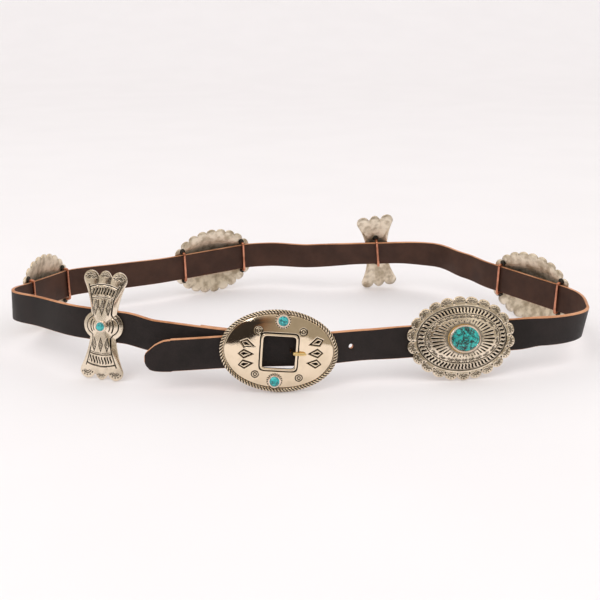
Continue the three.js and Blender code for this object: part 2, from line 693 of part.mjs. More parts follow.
// The fold: half a turn round the bar, then back along the inner side of the strap.
function foldSamples(run) {
  const last = run[run.length - 1];
  const barPoint = last.point.clone().addScaledVector(last.outward, -foldRadius);
  const samples = [];
  const steps = 8;
  for (let i = 1; i <= steps; i += 1) {
    const turn = (Math.PI * i) / steps;
    const outward = last.outward.clone().multiplyScalar(Math.cos(turn))
      .addScaledVector(last.along, Math.sin(turn));
    const along = last.along.clone().multiplyScalar(Math.cos(turn))
      .addScaledVector(last.outward, -Math.sin(turn));
    const point = barPoint.clone().addScaledVector(outward, foldRadius);
    samples.push({ point, outward, along, up: last.up.clone() });
  }
  const close = STRAP_THICKNESS + GAP;
  const shares = [0.18, 0.36, 0.68, 1];
  shares.forEach((share) => {
    const back = FOLD_LENGTH * share;
    const beside = sampleAt(run, last.length - back);
    const inset = THREE.MathUtils.lerp(2 * foldRadius, close, THREE.MathUtils.smoothstep(share, 0, 0.36));
    samples.push({
      point: beside.point.clone().addScaledVector(beside.outward, -inset),
      outward: beside.outward.clone().negate(),
      along: beside.along.clone().negate(),
      up: beside.up.clone(),
    });
  });
  return samples;
}

// The strap's sample at a given length along a run.
function sampleAt(run, length) {
  const next = run.findIndex((sample) => sample.length >= length);
  const [a, b] = [run[Math.max(next - 1, 0)], run[next]];
  const mix = (length - a.length) / (b.length - a.length || 1);
  const blend = (key) => a[key].clone().lerp(b[key], mix);
  return {
    point: blend('point'), along: blend('along').normalize(),
    up: blend('up').normalize(), outward: blend('outward').normalize(),
  };
}

// The strap's end, cut on a slant.
function tipSamples(start) {
  return TIP.map((row) => ({
    ...start,
    point: start.point.clone().addScaledVector(start.along, row.along * TIP_LENGTH),
    top: row.top, bottom: row.bottom,
  }));
}

function strapSolid(sections) {
  const count = sections.length - 1;
  const box = new THREE.BoxGeometry(1, 1, 1, count, 1, 1);
  return solidOf(reshaped(box, (point) => {
    const section = sections[Math.round((point.x + 0.5) * count)];
    const edge = point.y > 0 ? section.top ?? 0.5 : section.bottom ?? -0.5;
    return section.point.clone()
      .addScaledVector(section.up, edge * STRAP_WIDTH)
      .addScaledVector(section.outward, point.z * STRAP_THICKNESS);
  }));
}

function frameFrom(sample, offset = 0) {
  return new THREE.Matrix4()
    .makeBasis(sample.along, sample.up, sample.outward)
    .setPosition(sample.point.clone().addScaledVector(sample.outward, offset));
}

function ornamentFrame(station) {
  const { along, up, outward } = axesAt(station.heading, station.slope, station.lean);
  const point = new THREE.Vector3(station.spot.x, station.spot.y, station.height);
  const frame = frameFrom({ point, along, up, outward }, plateOffset);
  return frame.multiply(new THREE.Matrix4().makeRotationZ(station.roll));
}

// A round cutter at x in a frame, from one depth to another along its outward direction.
function drill(diameter, x, from, to, frame) {
  const cutter = new THREE.CylinderGeometry(diameter / 2, diameter / 2, to - from, SMALL_STONE_FACETS);
  cutter.rotateX(Math.PI / 2).translate(x, 0, (from + to) / 2).applyMatrix4(frame);
  return solidOf(cutter);
}

function build() {
  const stations = stationsOf(ROUTE);
  const [tongue, buckleStation] = stations;
  const buckleFrame = ornamentFrame(buckleStation);
  tongue.spot.x = buckleStation.spot.x - TONGUE_LENGTH;
  tongue.height = buckleStation.height - TONGUE_DROP;
  const run = middleLine([...stations, barStation(buckleFrame, buckleStation)]);
  const pastTip = run.filter((sample) => sample.length > TIP_LENGTH + STRAP_THICKNESS);
  const sections = [...tipSamples(run[0]), ...pastTip, ...foldSamples(run)];

  const through = STRAP_THICKNESS;
  const cutters = [drill(HOLE_DIAMETER, PRONG_HOLE_OFFSET, -plateOffset - through, 0, buckleFrame)];
  const behindBuckle = run.find((sample) => sample.spot.distanceTo(buckleStation.spot) < GAP);
  for (let i = 1; i < HOLE_COUNT; i += 1) {
    const hole = sampleAt(run, behindBuckle.length + PRONG_HOLE_OFFSET + i * HOLE_PITCH);
    cutters.push(drill(HOLE_DIAMETER, 0, -through, through, frameFrom(hole)));
  }
  cutters.push(prongSlot(buckleFrame));
  const rivetFrame = frameFrom(sampleAt(run, run[run.length - 1].length - RIVET_SETBACK));
  cutters.push(drill(RIVET_DIAMETER + 2 * GAP, 0, -3 * through, plateOffset, rivetFrame));
  const strap = cutters.reduce((solid, cutter) => solid.subtract(cutter), strapSolid(sections));

  const belt = new THREE.Group();
  belt.name = 'concho_belt';
  belt.add(namedMesh('strap', strap, 'leather'));
  belt.add(namedMesh('buckle', buckle(), 'polished', buckleFrame));
  BUCKLE_STONE_SPOTS.forEach((spot) => {
    belt.add(namedMesh(spot.name, buckleStone(spot), 'turquoise', buckleFrame));
  });
  belt.add(namedMesh('buckle_prong', prong(), 'brass', buckleFrame));
  belt.add(namedMesh('fold_rivet', rivet(), 'brass', rivetFrame));

  const makers = { concho: ovalConcho(), butterfly: butterfly() };
  stations.filter((station) => ornamentAt(station) && station.at !== 'buckle').forEach((station) => {
    const [kind, number] = station.at.split('_');
    const frame = ornamentFrame(station);
    belt.add(namedMesh(station.at, makers[kind].body, 'silver', frame));
    belt.add(namedMesh(`${kind}_stone_${number}`, makers[kind].stone, 'turquoise', frame));
  });
  return centred(belt);
}

// Puts the middle of the belt's footprint over the origin and its lowest point on the floor.
function centred(belt) {
  const box = new THREE.Box3().setFromObject(belt, true);
  const shift = box.getCenter(new THREE.Vector3()).setZ(box.min.z).negate();
  belt.children.forEach((mesh) => mesh.position.add(shift));
  return belt;
}

// The slot in the fold that lets the prong's eye reach the bar.
function prongSlot(frame) {
  const reach = BAR_DIAMETER / 2 + GAP + PRONG_WIRE + GAP;
  const height = PRONG_WIRE + 2 * KEEPER_SLACK;
  const right = foldRadius + STRAP_THICKNESS;
  const slot = new THREE.BoxGeometry(reach + right, height, 2 * (foldRadius + STRAP_THICKNESS));
  slot.translate(BAR_OFFSET + (right - reach) / 2, 0, barDepth - GAP).applyMatrix4(frame);
  return solidOf(slot);
}

// A plain rivet through both layers of the fold.
function rivet() {
  const outer = STRAP_THICKNESS / 2 + GAP;
  const inner = -(STRAP_THICKNESS * 1.5 + 2 * GAP);
  const cap = RIVET_CAP_DIAMETER / 2;
  const shaft = RIVET_DIAMETER / 2;
  const rim = RIVET_CAP_HEIGHT / 2;
  const profile = [
    [0, inner - RIVET_CAP_HEIGHT], [cap * 0.7, inner - RIVET_CAP_HEIGHT], [cap, inner - rim], [cap, inner],
    [shaft, inner], [shaft, outer],
    [cap, outer], [cap, outer + rim], [cap * 0.7, outer + RIVET_CAP_HEIGHT], [0, outer + RIVET_CAP_HEIGHT],
  ].map(([radius, height]) => new THREE.Vector2(radius, height));
  return solidOf(new THREE.LatheGeometry(profile, SMALL_STONE_FACETS).rotateX(Math.PI / 2));
}

export default build();
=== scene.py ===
"""A concho belt, fastened into a loop and standing on a pale floor, dressed for the camera."""

import logging
import math
from dataclasses import dataclass, field
from enum import Enum
from typing import Callable, Iterable, Sequence

import bmesh
import bpy
import numpy as np
from mathutils import Matrix, Vector


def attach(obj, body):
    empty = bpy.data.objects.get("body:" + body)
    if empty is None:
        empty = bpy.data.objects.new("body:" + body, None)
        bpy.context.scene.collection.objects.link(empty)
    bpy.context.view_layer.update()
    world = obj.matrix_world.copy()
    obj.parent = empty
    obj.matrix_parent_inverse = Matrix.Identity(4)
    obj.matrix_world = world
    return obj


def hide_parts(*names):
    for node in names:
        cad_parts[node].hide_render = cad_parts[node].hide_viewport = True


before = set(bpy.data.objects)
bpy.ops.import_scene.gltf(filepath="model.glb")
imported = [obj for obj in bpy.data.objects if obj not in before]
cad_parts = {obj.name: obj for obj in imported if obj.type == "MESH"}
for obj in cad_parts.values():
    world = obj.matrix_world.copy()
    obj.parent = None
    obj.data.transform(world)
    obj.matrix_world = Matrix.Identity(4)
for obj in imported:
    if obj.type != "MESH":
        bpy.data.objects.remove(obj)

Array = np.ndarray
Number = float | np.ndarray
Place = Callable[[Array, Array], tuple[Array, Array]]
Index = Callable[[Array], tuple[Array, Array]]
End = tuple[Vector, float, float, float]
Socket = bpy.types.NodeSocket

LOG = logging.getLogger("concho_belt")
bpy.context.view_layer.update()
MM = 0.001
TAU = 2 * math.pi
BODY = "root"

STRAP_WIDTH = 24.5
STRAP_THICKNESS = 2.7
PLATE_WALL = 1.3
GAP = 0.3
KEEPER_WIRE = 2.0
KEEPER_SLACK = 0.6
PLATE_OFFSET = STRAP_THICKNESS / 2 + GAP
LOOP_WIDTH = 475.0
LOOP_DEPTH = 290.0
OVAL_HALF_HEIGHT = 32.5
FOOTPRINT_SHIFT = Vector((-4.637, 4.729, 0.0))
PRONG_HOLE = 9.3


class Side(Enum):
    """The surfaces of the strap, as the places of their finishes in its material list."""

    OUTER = 0
    INNER = 1
    EDGE = 2


class Kind(Enum):
    """What a station of the strap carries."""

    BARE = "bare"
    OVAL = "concho"
    BUTTERFLY = "butterfly"
    BUCKLE = "buckle"


def tint(code: str) -> tuple[float, float, float, float]:
    """Turns a colour written as six hex digits into linear light.

    Args:
        code: Red, green and blue as two hex digits each.

    Returns:
        The colour as linear red, green, blue and a full alpha.
    """
    parts = [int(code[i:i + 2], 16) / 255 for i in (0, 2, 4)]
    linear = [c / 12.92 if c <= 0.04045 else ((c + 0.055) / 1.055) ** 2.4 for c in parts]
    return (*linear, 1.0)


def ramp(value: Array, low: float, high: float) -> Array:
    """Climbs smoothly from 0 at low to 1 at high."""
    share = np.clip((value - low) / (high - low), 0.0, 1.0)
    return share * share * (3 - 2 * share)


def line(value: Array, at: float | Array, half: float) -> Array:
    """Gives 1 on a line of a half width, falling softly to 0 beside it."""
    return np.clip(1.6 - np.abs(value - at) / half, 0.0, 1.0)


def mesh_of(name: str, bm: bmesh.types.BMesh, smooth: bool = True) -> bpy.types.Mesh:
    """Turns a bmesh into a mesh and frees it.

    Args:
        name: Name of the mesh.
        bm: The bmesh.
        smooth: Whether its faces are shaded smooth.

    Returns:
        The mesh.
    """
    mesh = bpy.data.meshes.new(name)
    bm.to_mesh(mesh)
    bm.free()
    if smooth:
        mesh.shade_smooth()
    return mesh


def linked(name: str, data: bpy.types.ID) -> bpy.types.Object:
    """Makes an object and links it to the scene.

    Args:
        name: Name of the object.
        data: Its mesh, light or camera.

    Returns:
        The object.
    """
    item = bpy.data.objects.new(name, data)
    bpy.context.scene.collection.objects.link(item)
    return item


def finished(name: str, bm: bmesh.types.BMesh, place: Place, index: Index, mark: str) -> bpy.types.Mesh:
    """Moves a bare grid of vertices to its real shape and closes its poles and seams.

    Args:
        name: Name of the mesh.
        bm: The grid.
        place: Gives each vertex's point in millimetres and its mark.
        index: Reads a vertex's row and turn from the bare grid.
        mark: Name of the attribute that holds the marks.

    Returns:
        The mesh in metres.
    """
    mesh = mesh_of(name, bm, smooth=False)
    bare = np.empty(len(mesh.vertices) * 3)
    mesh.vertices.foreach_get("co", bare)
    points, marks = place(*index(bare.reshape(-1, 3)))
    mesh.vertices.foreach_set("co", (points * MM).ravel())
    layer = mesh.attributes.new(mark, "FLOAT", "POINT")
    layer.data.foreach_set("value", np.broadcast_to(marks, (len(mesh.vertices),)).astype(np.float32))
    shaped = bmesh.new()
    shaped.from_mesh(mesh)
    bmesh.ops.remove_doubles(shaped, verts=shaped.verts, dist=1e-6)
    bmesh.ops.recalc_face_normals(shaped, faces=shaped.faces)
    shaped.to_mesh(mesh)
    shaped.free()
    mesh.shade_smooth()
    return mesh


def turned(name: str, rows: int, steps: int, closed: bool, place: Place,
           mark: str = "patina_and_shade") -> bpy.types.Mesh:
    """Spins a half section round the Z axis and lays it over a form.

    Args:
        name: Name of the mesh.
        rows: Points of the half section.
        steps: Steps of the full turn.
        closed: Whether the half section closes on itself, as a ring's does.
        place: Gives the points and marks for arrays of rows and turns.
        mark: Name of the attribute that holds the marks.

    Returns:
        The closed mesh.
    """
    bm = bmesh.new()
    start = [bm.verts.new((1.0 + row, 0.0, 0.0)) for row in range(rows)]
    chain = [bm.edges.new(pair) for pair in zip(start, start[1:])]
    if closed:
        chain.append(bm.edges.new((start[-1], start[0])))
    bmesh.ops.spin(bm, geom=start + chain, cent=(0, 0, 0), axis=(0, 0, 1), angle=TAU, steps=steps,
                   use_merge=True)

    def index(bare: Array) -> tuple[Array, Array]:
        """Row and turn of each vertex.

        Args:
            bare: Points of the bare grid.

        Returns:
            The rows and the turns.
        """
        row = np.rint(np.hypot(bare[:, 0], bare[:, 1])).astype(int) - 1
        step = np.rint(np.arctan2(bare[:, 1], bare[:, 0]) / TAU * steps) % steps
        return row, step * TAU / steps

    return finished(name, bm, place, index, mark)


def swept(name: str, rings: int, around: int, place: Place, mark: str = "patina_and_shade") -> bpy.types.Mesh:
    """Extrudes a ring of points along a path and fills both ends.

    Args:
        name: Name of the mesh.
        rings: Number of rings along the path.
        around: Points of each ring.
        place: Gives the points and marks for arrays of rings and turns.
        mark: Name of the attribute that holds the marks.

    Returns:
        The closed mesh.
    """
    bm = bmesh.new()
    bmesh.ops.create_circle(bm, cap_ends=False, radius=1.0, segments=around)
    edges = list(bm.edges)
    for _ in range(rings - 1):
        grown = bmesh.ops.extrude_edge_only(bm, edges=edges)["geom"]
        verts = {item for item in grown if isinstance(item, bmesh.types.BMVert)}
        bmesh.ops.translate(bm, vec=(0, 0, 1), verts=list(verts))
        edges = [item for item in grown
                 if isinstance(item, bmesh.types.BMEdge) and set(item.verts) <= verts]
    open_edges = [edge for edge in bm.edges if edge.is_boundary]
    bmesh.ops.holes_fill(bm, edges=open_edges, sides=0)

    def index(bare: Array) -> tuple[Array, Array]:
        """Ring and turn of each vertex."""
        step = np.rint(np.arctan2(bare[:, 1], bare[:, 0]) / TAU * around) % around
        return np.rint(bare[:, 2]).astype(int), step * TAU / around

    return finished(name, bm, place, index, mark)


def wire(name: str, path: Array, radii: Array, side: Sequence[float], around: int = 14) -> bpy.types.Mesh:
    """Makes a round wire along a path that lies in one plane.

    Args:
        name: Name of the mesh.
        path: Points of the middle line, one row each.
        radii: Radius at each point.
        side: Direction square to the path's plane.
        around: Sides of the wire.

    Returns:
        The wire's mesh.
    """
    along = np.gradient(path, axis=0)
    along /= np.linalg.norm(along, axis=1)[:, None]
    across = np.asarray(side, dtype=float)
    lift = np.cross(along, across)

    def place(ring: Array, turn: Array) -> tuple[Array, Array]:
        """A point on the wire's skin.

        Args:
            ring: Ring of each vertex.
            turn: Its turn round the ring, in radians.

        Returns:
            The points in millimetres and their marks.
        """
        reach = np.cos(turn)[:, None] * across + np.sin(turn)[:, None] * lift[ring]
        return path[ring] + radii[ring, None] * reach, np.zeros(len(ring))

    return swept(name, len(path), around, place)


def hermite(start: Number, stop: Number, leave: Number, arrive: Number, t: Number) -> Number:
    """A cubic from start to stop with given rates at both ends.

    Args:
        start: Value at t = 0.
        stop: Value at t = 1.
        leave: Rate of change at the start.
        arrive: Rate of change at the end.
        t: Share of the way.

    Returns:
        The value at t.
    """
    t2, t3 = t * t, t * t * t
    return (start * (2 * t3 - 3 * t2 + 1) + leave * (t3 - 2 * t2 + t) + stop * (3 * t2 - 2 * t3)
            + arrive * (t3 - t2))


def hermite_rate(start: float, stop: float, leave: float, arrive: float, t: float) -> float:
    """Rate of change of that cubic."""
    t2 = t * t
    return (start - stop) * (6 * t2 - 6 * t) + leave * (3 * t2 - 4 * t + 1) + arrive * (3 * t2 - 2 * t)


def lengths_along(curve: Array) -> Array:
    """Length of a curve from its start to each of its points."""
    return np.concatenate([[0], np.cumsum(np.linalg.norm(np.diff(curve, axis=0), axis=1))])


def even_oval(axes: tuple[float, float], share: Array) -> tuple[Array, Array]:
    """Points and outward normals of an oval at shares of its length.

    Args:
        axes: Half width and half height.
        share: Shares of the whole way round, from the right end.

    Returns:
        The points and the normals, one row each.
    """
    a, b = axes
    angles = np.linspace(0, TAU, 2001)
    length = lengths_along(np.column_stack([a * np.cos(angles), b * np.sin(angles)]))
    angle = np.interp(np.asarray(share) % 1.0, length / length[-1], angles)
    normal = np.column_stack([b * np.cos(angle), a * np.sin(angle)])
    normal /= np.linalg.norm(normal, axis=1)[:, None]
    return np.column_stack([a * np.cos(angle), b * np.sin(angle)]), normal


def smooth_path(points: Sequence[Sequence[float]], samples: int) -> Array:
    """Draws a smooth curve through a few points, evenly spaced along its length.

    Args:
        points: The points that it passes through.
        samples: How many points to return.

    Returns:
        The points of the curve, one row each.
    """
    knots = np.array([points[0], *points, points[-1]], dtype=float)
    t = np.linspace(0, 1, 24, endpoint=False)[:, None]
    fine = [hermite(b, c, 0.5 * (c - a), 0.5 * (d - b), t)
            for a, b, c, d in zip(knots, knots[1:], knots[2:], knots[3:])]
    curve = np.vstack([*fine, knots[-1:]])
    length = lengths_along(curve)
    even = np.linspace(0, length[-1], samples)
    return np.column_stack([np.interp(even, length, curve[:, k]) for k in range(3)])


def staple(x: float, side: float, root: float, depth: float, bend: float, middle: Sequence[float],
           samples: int) -> Array:
    """Middle line of a wire bent into a staple across the strap.

    Args:
        x: Where it crosses, along the strap.
        side: Distance of its legs from the strap's middle line.
        root: Height of its feet.
        depth: Height of its back.
        bend: Size of its two bends.
        middle: Sideways places of the points along its back.
        samples: How many points to return.

    Returns:
        The points, one row each.
    """
    half = [(x, side, root), (x, side, (root + depth) / 2), (x, side, depth + bend),
            (x, side - 0.3 * bend, depth + 0.3 * bend), (x, side - bend, depth)]
    mirrored = [(px, -py, pz) for px, py, pz in reversed(half)]
    return smooth_path([*half, *[(x, y, depth) for y in middle], *mirrored], samples)


def show(mesh: bpy.types.Mesh, placed: Matrix, materials: Iterable[bpy.types.Material],
         nodes: Sequence[str] = ()) -> bpy.types.Object:
    """Puts a finished mesh in the scene, riding on the belt.

    Args:
        mesh: The mesh, in its own frame.
        placed: Where that frame lies.
        materials: The materials of its faces.
        nodes: CAD nodes that the piece stands for.

    Returns:
        The new object.
    """
    mesh.transform(placed)
    for material in materials:
        mesh.materials.append(material)
    piece = linked(mesh.name, mesh)
    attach(piece, BODY)
    if nodes:
        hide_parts(*nodes)
    LOG.info("%s: %d faces", piece.name, len(mesh.polygons))
    return piece


def in_metres(matrix: Matrix) -> Matrix:
    """The same frame with its origin given in metres.

    Args:
        matrix: A frame in millimetres.

    Returns:
        The frame in metres.
    """
    moved = matrix.copy()
    moved.translation = matrix.translation * MM
    return moved


def frame_at(point: Vector, axes: tuple[Vector, Vector, Vector]) -> Matrix:
    """The frame at a point whose X, Y and Z look along three directions."""
    return Matrix.Translation(point) @ Matrix(axes).transposed().to_4x4()


def add_node(tree: bpy.types.NodeTree, kind: str, **values: object) -> bpy.types.Node:
    """Adds a node and sets its properties and its unlinked inputs.

    Args:
        tree: The tree that gets the node.
        kind: The node's type name.
        values: Properties by name, inputs by name with underscores for spaces, or inputs by
            number after the word in.

    Returns:
        The new node.
    """
    node = tree.nodes.new(kind)
    for key, value in values.items():
        if hasattr(node, key):
            setattr(node, key, value)
        else:
            numbered = key.startswith("in") and key[2:].isdigit()
            target = node.inputs[int(key[2:]) if numbered else key.replace("_", " ")]
            if isinstance(value, Socket):
                tree.links.new(value, target)
            else:
                target.default_value = value
    return node


def maths(tree: bpy.types.NodeTree, what: str, a: Socket | float, b: Socket | float = 0.0,
          clamp: bool = False) -> Socket:
    """Adds a Math node.

    Args:
        tree: The tree that gets it.
        what: The operation.
        a: First value or socket.
        b: Second value or socket.
        clamp: Whether the result stays within 0 and 1.

    Returns:
        The node's result.
    """
    return add_node(tree, "ShaderNodeMath", operation=what, use_clamp=clamp, in0=a, in1=b).outputs[0]


def blend(tree: bpy.types.NodeTree, share: Socket | float, low: object, high: object) -> Socket:
    """Adds a colour mix from low to high by a share and returns its colour."""
    return add_node(tree, "ShaderNodeMix", data_type="RGBA", in0=share, in6=low, in7=high).outputs[2]


def spread(tree: bpy.types.NodeTree, value: Socket, low: float, high: float, to_low: float = 0.0,
           to_high: float = 1.0) -> Socket:
    """Adds a clamped smooth map from one range to another and returns its result."""
    return add_node(tree, "ShaderNodeMapRange", interpolation_type="SMOOTHSTEP", in0=value, in1=low,
                    in2=high, in3=to_low, in4=to_high).outputs[0]


def feed(tree: bpy.types.NodeTree, node: bpy.types.Node, **sockets: Socket) -> None:
    """Links sockets to a node's inputs by name, with underscores for spaces."""
    for label, socket in sockets.items():
        tree.links.new(socket, node.inputs[label.replace("_", " ")])


def noise(tree: bpy.types.NodeTree, place: Socket, scale: Socket | float, detail: float,
          rough: float = 0.5) -> bpy.types.Node:
    """Adds a noise texture."""
    return add_node(tree, "ShaderNodeTexNoise", Vector=place, Scale=scale, Detail=detail, Roughness=rough)


def cells(tree: bpy.types.NodeTree, feature: str, place: Socket, scale: Socket | float) -> bpy.types.Node:
    """Adds a Voronoi texture."""
    return add_node(tree, "ShaderNodeTexVoronoi", feature=feature, Vector=place, Scale=scale)


def object_place(tree: bpy.types.NodeTree) -> Socket:
    """Adds the object's own coordinates."""
    return add_node(tree, "ShaderNodeTexCoord").outputs["Object"]


def bent_place(tree: bpy.types.NodeTree, place: Socket, scale: float, detail: float, amount: float) -> Socket:
    """Adds coordinates that a noise pushes about by an amount in metres."""
    warp = noise(tree, place, scale, detail).outputs["Color"]
    return add_node(tree, "ShaderNodeMixRGB", blend_type="ADD", in0=amount, in1=place, in2=warp).outputs[0]


def effect_group(name: str, inputs: dict[str, float], outputs: Sequence[str]) -> tuple[
        bpy.types.NodeTree, bpy.types.Node, bpy.types.Node]:
    """Starts a shader node group with named number inputs and outputs.

    Args:
        name: Name of the group.
        inputs: Input names with their default values.
        outputs: Names of the outputs.

    Returns:
        The group, its input node and its output node.
    """
    tree = bpy.data.node_groups.new(name, "ShaderNodeTree")
    for label, value in inputs.items():
        socket = tree.interface.new_socket(label, in_out="INPUT", socket_type="NodeSocketFloat")
        socket.default_value = value
    for label in outputs:
        tree.interface.new_socket(label, in_out="OUTPUT", socket_type="NodeSocketFloat")
    return tree, tree.nodes.new("NodeGroupInput"), tree.nodes.new("NodeGroupOutput")


def grain_group() -> bpy.types.NodeTree:
    """Leather grain: pebbles with creases between them, pores and slow changes of tone.

    Returns:
        The group.
    """
    inputs = {"Pebbles": 900.0, "Pores": 2600.0}
    tree, given, out = effect_group("leather_grain", inputs, ("Height", "Tone"))
    place = object_place(tree)
    bent = bent_place(tree, place, 400.0, 3.0, 0.0012)
    pebbles = cells(tree, "DISTANCE_TO_EDGE", bent, given.outputs["Pebbles"])
    crease = spread(tree, pebbles.outputs["Distance"], 0.0, 0.16)
    pores = noise(tree, place, given.outputs["Pores"], 4.0)
    fine = maths(tree, "MULTIPLY", pores.outputs["Fac"], 0.5)
    slow = noise(tree, place, 42.0, 5.0, 0.65)
    feed(tree, out, Height=maths(tree, "ADD", crease, fine), Tone=slow.outputs["Fac"])
    return tree


def wear_group() -> bpy.types.NodeTree:
    """Worn metal: fine scratches, hammered dimples and cloudy tarnish.

    Returns:
        The group.
    """
    inputs = {"Dimples": 500.0, "Clouds": 90.0}
    tree, given, out = effect_group("metal_wear", inputs, ("Height", "Scratch", "Cloud"))
    place = object_place(tree)
    dimples = cells(tree, "SMOOTH_F1", place, given.outputs["Dimples"])
    turned_place = add_node(tree, "ShaderNodeMapping", Vector=place, Rotation=(0.3, 0.5, 0.7),
                            Scale=(1.0, 14.0, 14.0))
    streaks = noise(tree, turned_place.outputs[0], 260.0, 6.0, 0.7)
    clouds = noise(tree, place, given.outputs["Clouds"], 6.0)
    feed(tree, out, Height=dimples.outputs["Distance"], Cloud=clouds.outputs["Fac"],
         Scratch=spread(tree, streaks.outputs["Fac"], 0.45, 0.8))
    return tree


def web_group() -> bpy.types.NodeTree:
    """A stone's dark web: wandering veins of uneven width, with shade from grain to grain.

    Returns:
        The group.
    """
    tree, given, out = effect_group("stone_web", {"Cells": 700.0, "Width": 0.1}, ("Web", "Shade"))
    place = object_place(tree)
    bent = bent_place(tree, place, 520.0, 4.0, 0.0016)
    edges = cells(tree, "DISTANCE_TO_EDGE", bent, given.outputs["Cells"])
    uneven = spread(tree, noise(tree, place, 330.0, 3.0).outputs["Fac"], 0.38, 0.62, 0.2, 2.4)
    width = maths(tree, "MULTIPLY", given.outputs["Width"], uneven)
    near = maths(tree, "DIVIDE", edges.outputs["Distance"], width)
    tone = cells(tree, "F1", bent, given.outputs["Cells"])
    split = add_node(tree, "ShaderNodeSeparateColor", Color=tone.outputs["Color"])
    feed(tree, out, Web=spread(tree, near, 0.7, 1.2, 1.0, 0.0), Shade=split.outputs[0])
    return tree


GRAIN = grain_group()
WEAR = wear_group()
WEB = web_group()


def shaded(name: str) -> tuple[bpy.types.Material, bpy.types.NodeTree, bpy.types.Node]:
    """Starts a material and returns it with its tree and its Principled shader.

    Args:
        name: Name of the material.

    Returns:
        The material, its tree and its shader.
    """
    material = bpy.data.materials.new(name)
    material.use_nodes = True
    return material, material.node_tree, material.node_tree.nodes["Principled BSDF"]


def grouped(tree: bpy.types.NodeTree, group: bpy.types.NodeTree, **values: float) -> bpy.types.Node:
    """Places a shared group in a material's tree with its own values.

    Args:
        tree: The material's tree.
        group: The shared group.
        values: Its inputs by name.

    Returns:
        The group's node.
    """
    node = add_node(tree, "ShaderNodeGroup", node_tree=group)
    for label, value in values.items():
        node.inputs[label].default_value = value
    return node


def bumped(tree: bpy.types.NodeTree, height: Socket, depth: float, strength: float = 1.0) -> Socket:
    """Adds a Bump node of a depth in millimetres and returns its normal."""
    return add_node(tree, "ShaderNodeBump", Strength=strength, Distance=depth * MM, Height=height).outputs[0]


@dataclass(frozen=True)
class Leather:
    """One surface of the strap's leather, with grain and slow changes of tone."""

    name: str
    deep: str
    pale: str
    gloss: float = 0.25
    grain_depth: float = 0.1

    def material(self) -> bpy.types.Material:
        """The leather's material.

        Returns:
            The material.
        """
        material, tree, shader = shaded(self.name)
        grain = grouped(tree, GRAIN, Pebbles=820.0, Pores=3000.0)
        tone = spread(tree, grain.outputs["Tone"], 0.32, 0.68)
        feed(tree, shader, Base_Color=blend(tree, tone, tint(self.deep), tint(self.pale)),
             Roughness=spread(tree, grain.outputs["Height"], 0.2, 1.3, 0.62, 0.46),
             Normal=bumped(tree, grain.outputs["Height"], self.grain_depth, 0.7))
        shader.inputs["Specular IOR Level"].default_value = self.gloss
        return material


@dataclass(frozen=True)
class StampedSilver:
    """Silver with black in its stamped lines and painted shade beside the window frame, both read from the
    mark attribute.
    """

    name: str = "antique_silver"
    bright: str = "f2e3cd"
    dull: str = "a5967f"
    black: str = "16120f"
    clouding: float = 0.5
    rough_low: float = 0.2
    rough_high: float = 0.36
    bump: float = 0.05

    def material(self) -> bpy.types.Material:
        """The metal's material.

        Returns:
            The material.
        """
        material, tree, shader = shaded(self.name)
        wear = grouped(tree, WEAR, Dimples=650.0, Clouds=110.0)
        # The mark is real black patina in the stamped hollows, and painted shade along the buckle's window
        # frame.
        patina_and_shade = add_node(tree, "ShaderNodeAttribute", attribute_name="patina_and_shade").outputs["Fac"]
        smoke = spread(tree, wear.outputs["Cloud"], 0.42, 0.68, 0.0, self.clouding)
        metal = blend(tree, smoke, tint(self.bright), tint(self.dull))
        dark = spread(tree, patina_and_shade, 0.22, 0.7)
        rough = spread(tree, wear.outputs["Scratch"], 0.0, 1.0, self.rough_low, self.rough_high)
        feed(tree, shader, Base_Color=blend(tree, dark, metal, tint(self.black)),
             Roughness=maths(tree, "ADD", rough, maths(tree, "MULTIPLY", dark, 0.3)),
             Normal=bumped(tree, wear.outputs["Scratch"], self.bump, 0.5))
        shader.inputs["Metallic"].default_value = 1.0
        return material


@dataclass(frozen=True)
class PlainMetal:
    """A bare metal with scratches, dimples and tarnish."""

    name: str
    colour: str
    tarnish: str
    rough: float
    dimple_depth: float = 0.02
    dimples: float = 900.0
    tarnishing: float = 0.6

    def material(self) -> bpy.types.Material:
        """The metal's material.

        Returns:
            The material.
        """
        material, tree, shader = shaded(self.name)
        wear = grouped(tree, WEAR, Dimples=self.dimples, Clouds=150.0)
        smoke = spread(tree, wear.outputs["Cloud"], 0.38, 0.7, 0.0, self.tarnishing)
        feed(tree, shader, Base_Color=blend(tree, smoke, tint(self.colour), tint(self.tarnish)),
             Roughness=spread(tree, wear.outputs["Scratch"], 0.0, 1.0, self.rough, self.rough + 0.16),
             Normal=bumped(tree, wear.outputs["Height"], self.dimple_depth))
        shader.inputs["Metallic"].default_value = 1.0
        return material


@dataclass(frozen=True)
class Turquoise:
    """Polished turquoise with a dark web."""

    name: str
    pale: str
    deep: str
    vein: str
    cells: float
    width: float

    def material(self) -> bpy.types.Material:
        """The stone's material.

        Returns:
            The material.
        """
        material, tree, shader = shaded(self.name)
        web = grouped(tree, WEB, Cells=self.cells, Width=self.width)
        stone = blend(tree, web.outputs["Shade"], tint(self.deep), tint(self.pale))
        low = maths(tree, "SUBTRACT", 1.0, web.outputs["Web"])
        feed(tree, shader, Base_Color=blend(tree, web.outputs["Web"], stone, tint(self.vein)),
             Roughness=spread(tree, web.outputs["Web"], 0.0, 1.0, 0.16, 0.4), Normal=bumped(tree, low, 0.06))
        shader.inputs["Coat Weight"].default_value = 0.4
        shader.inputs["Coat Roughness"].default_value = 0.08
        return material


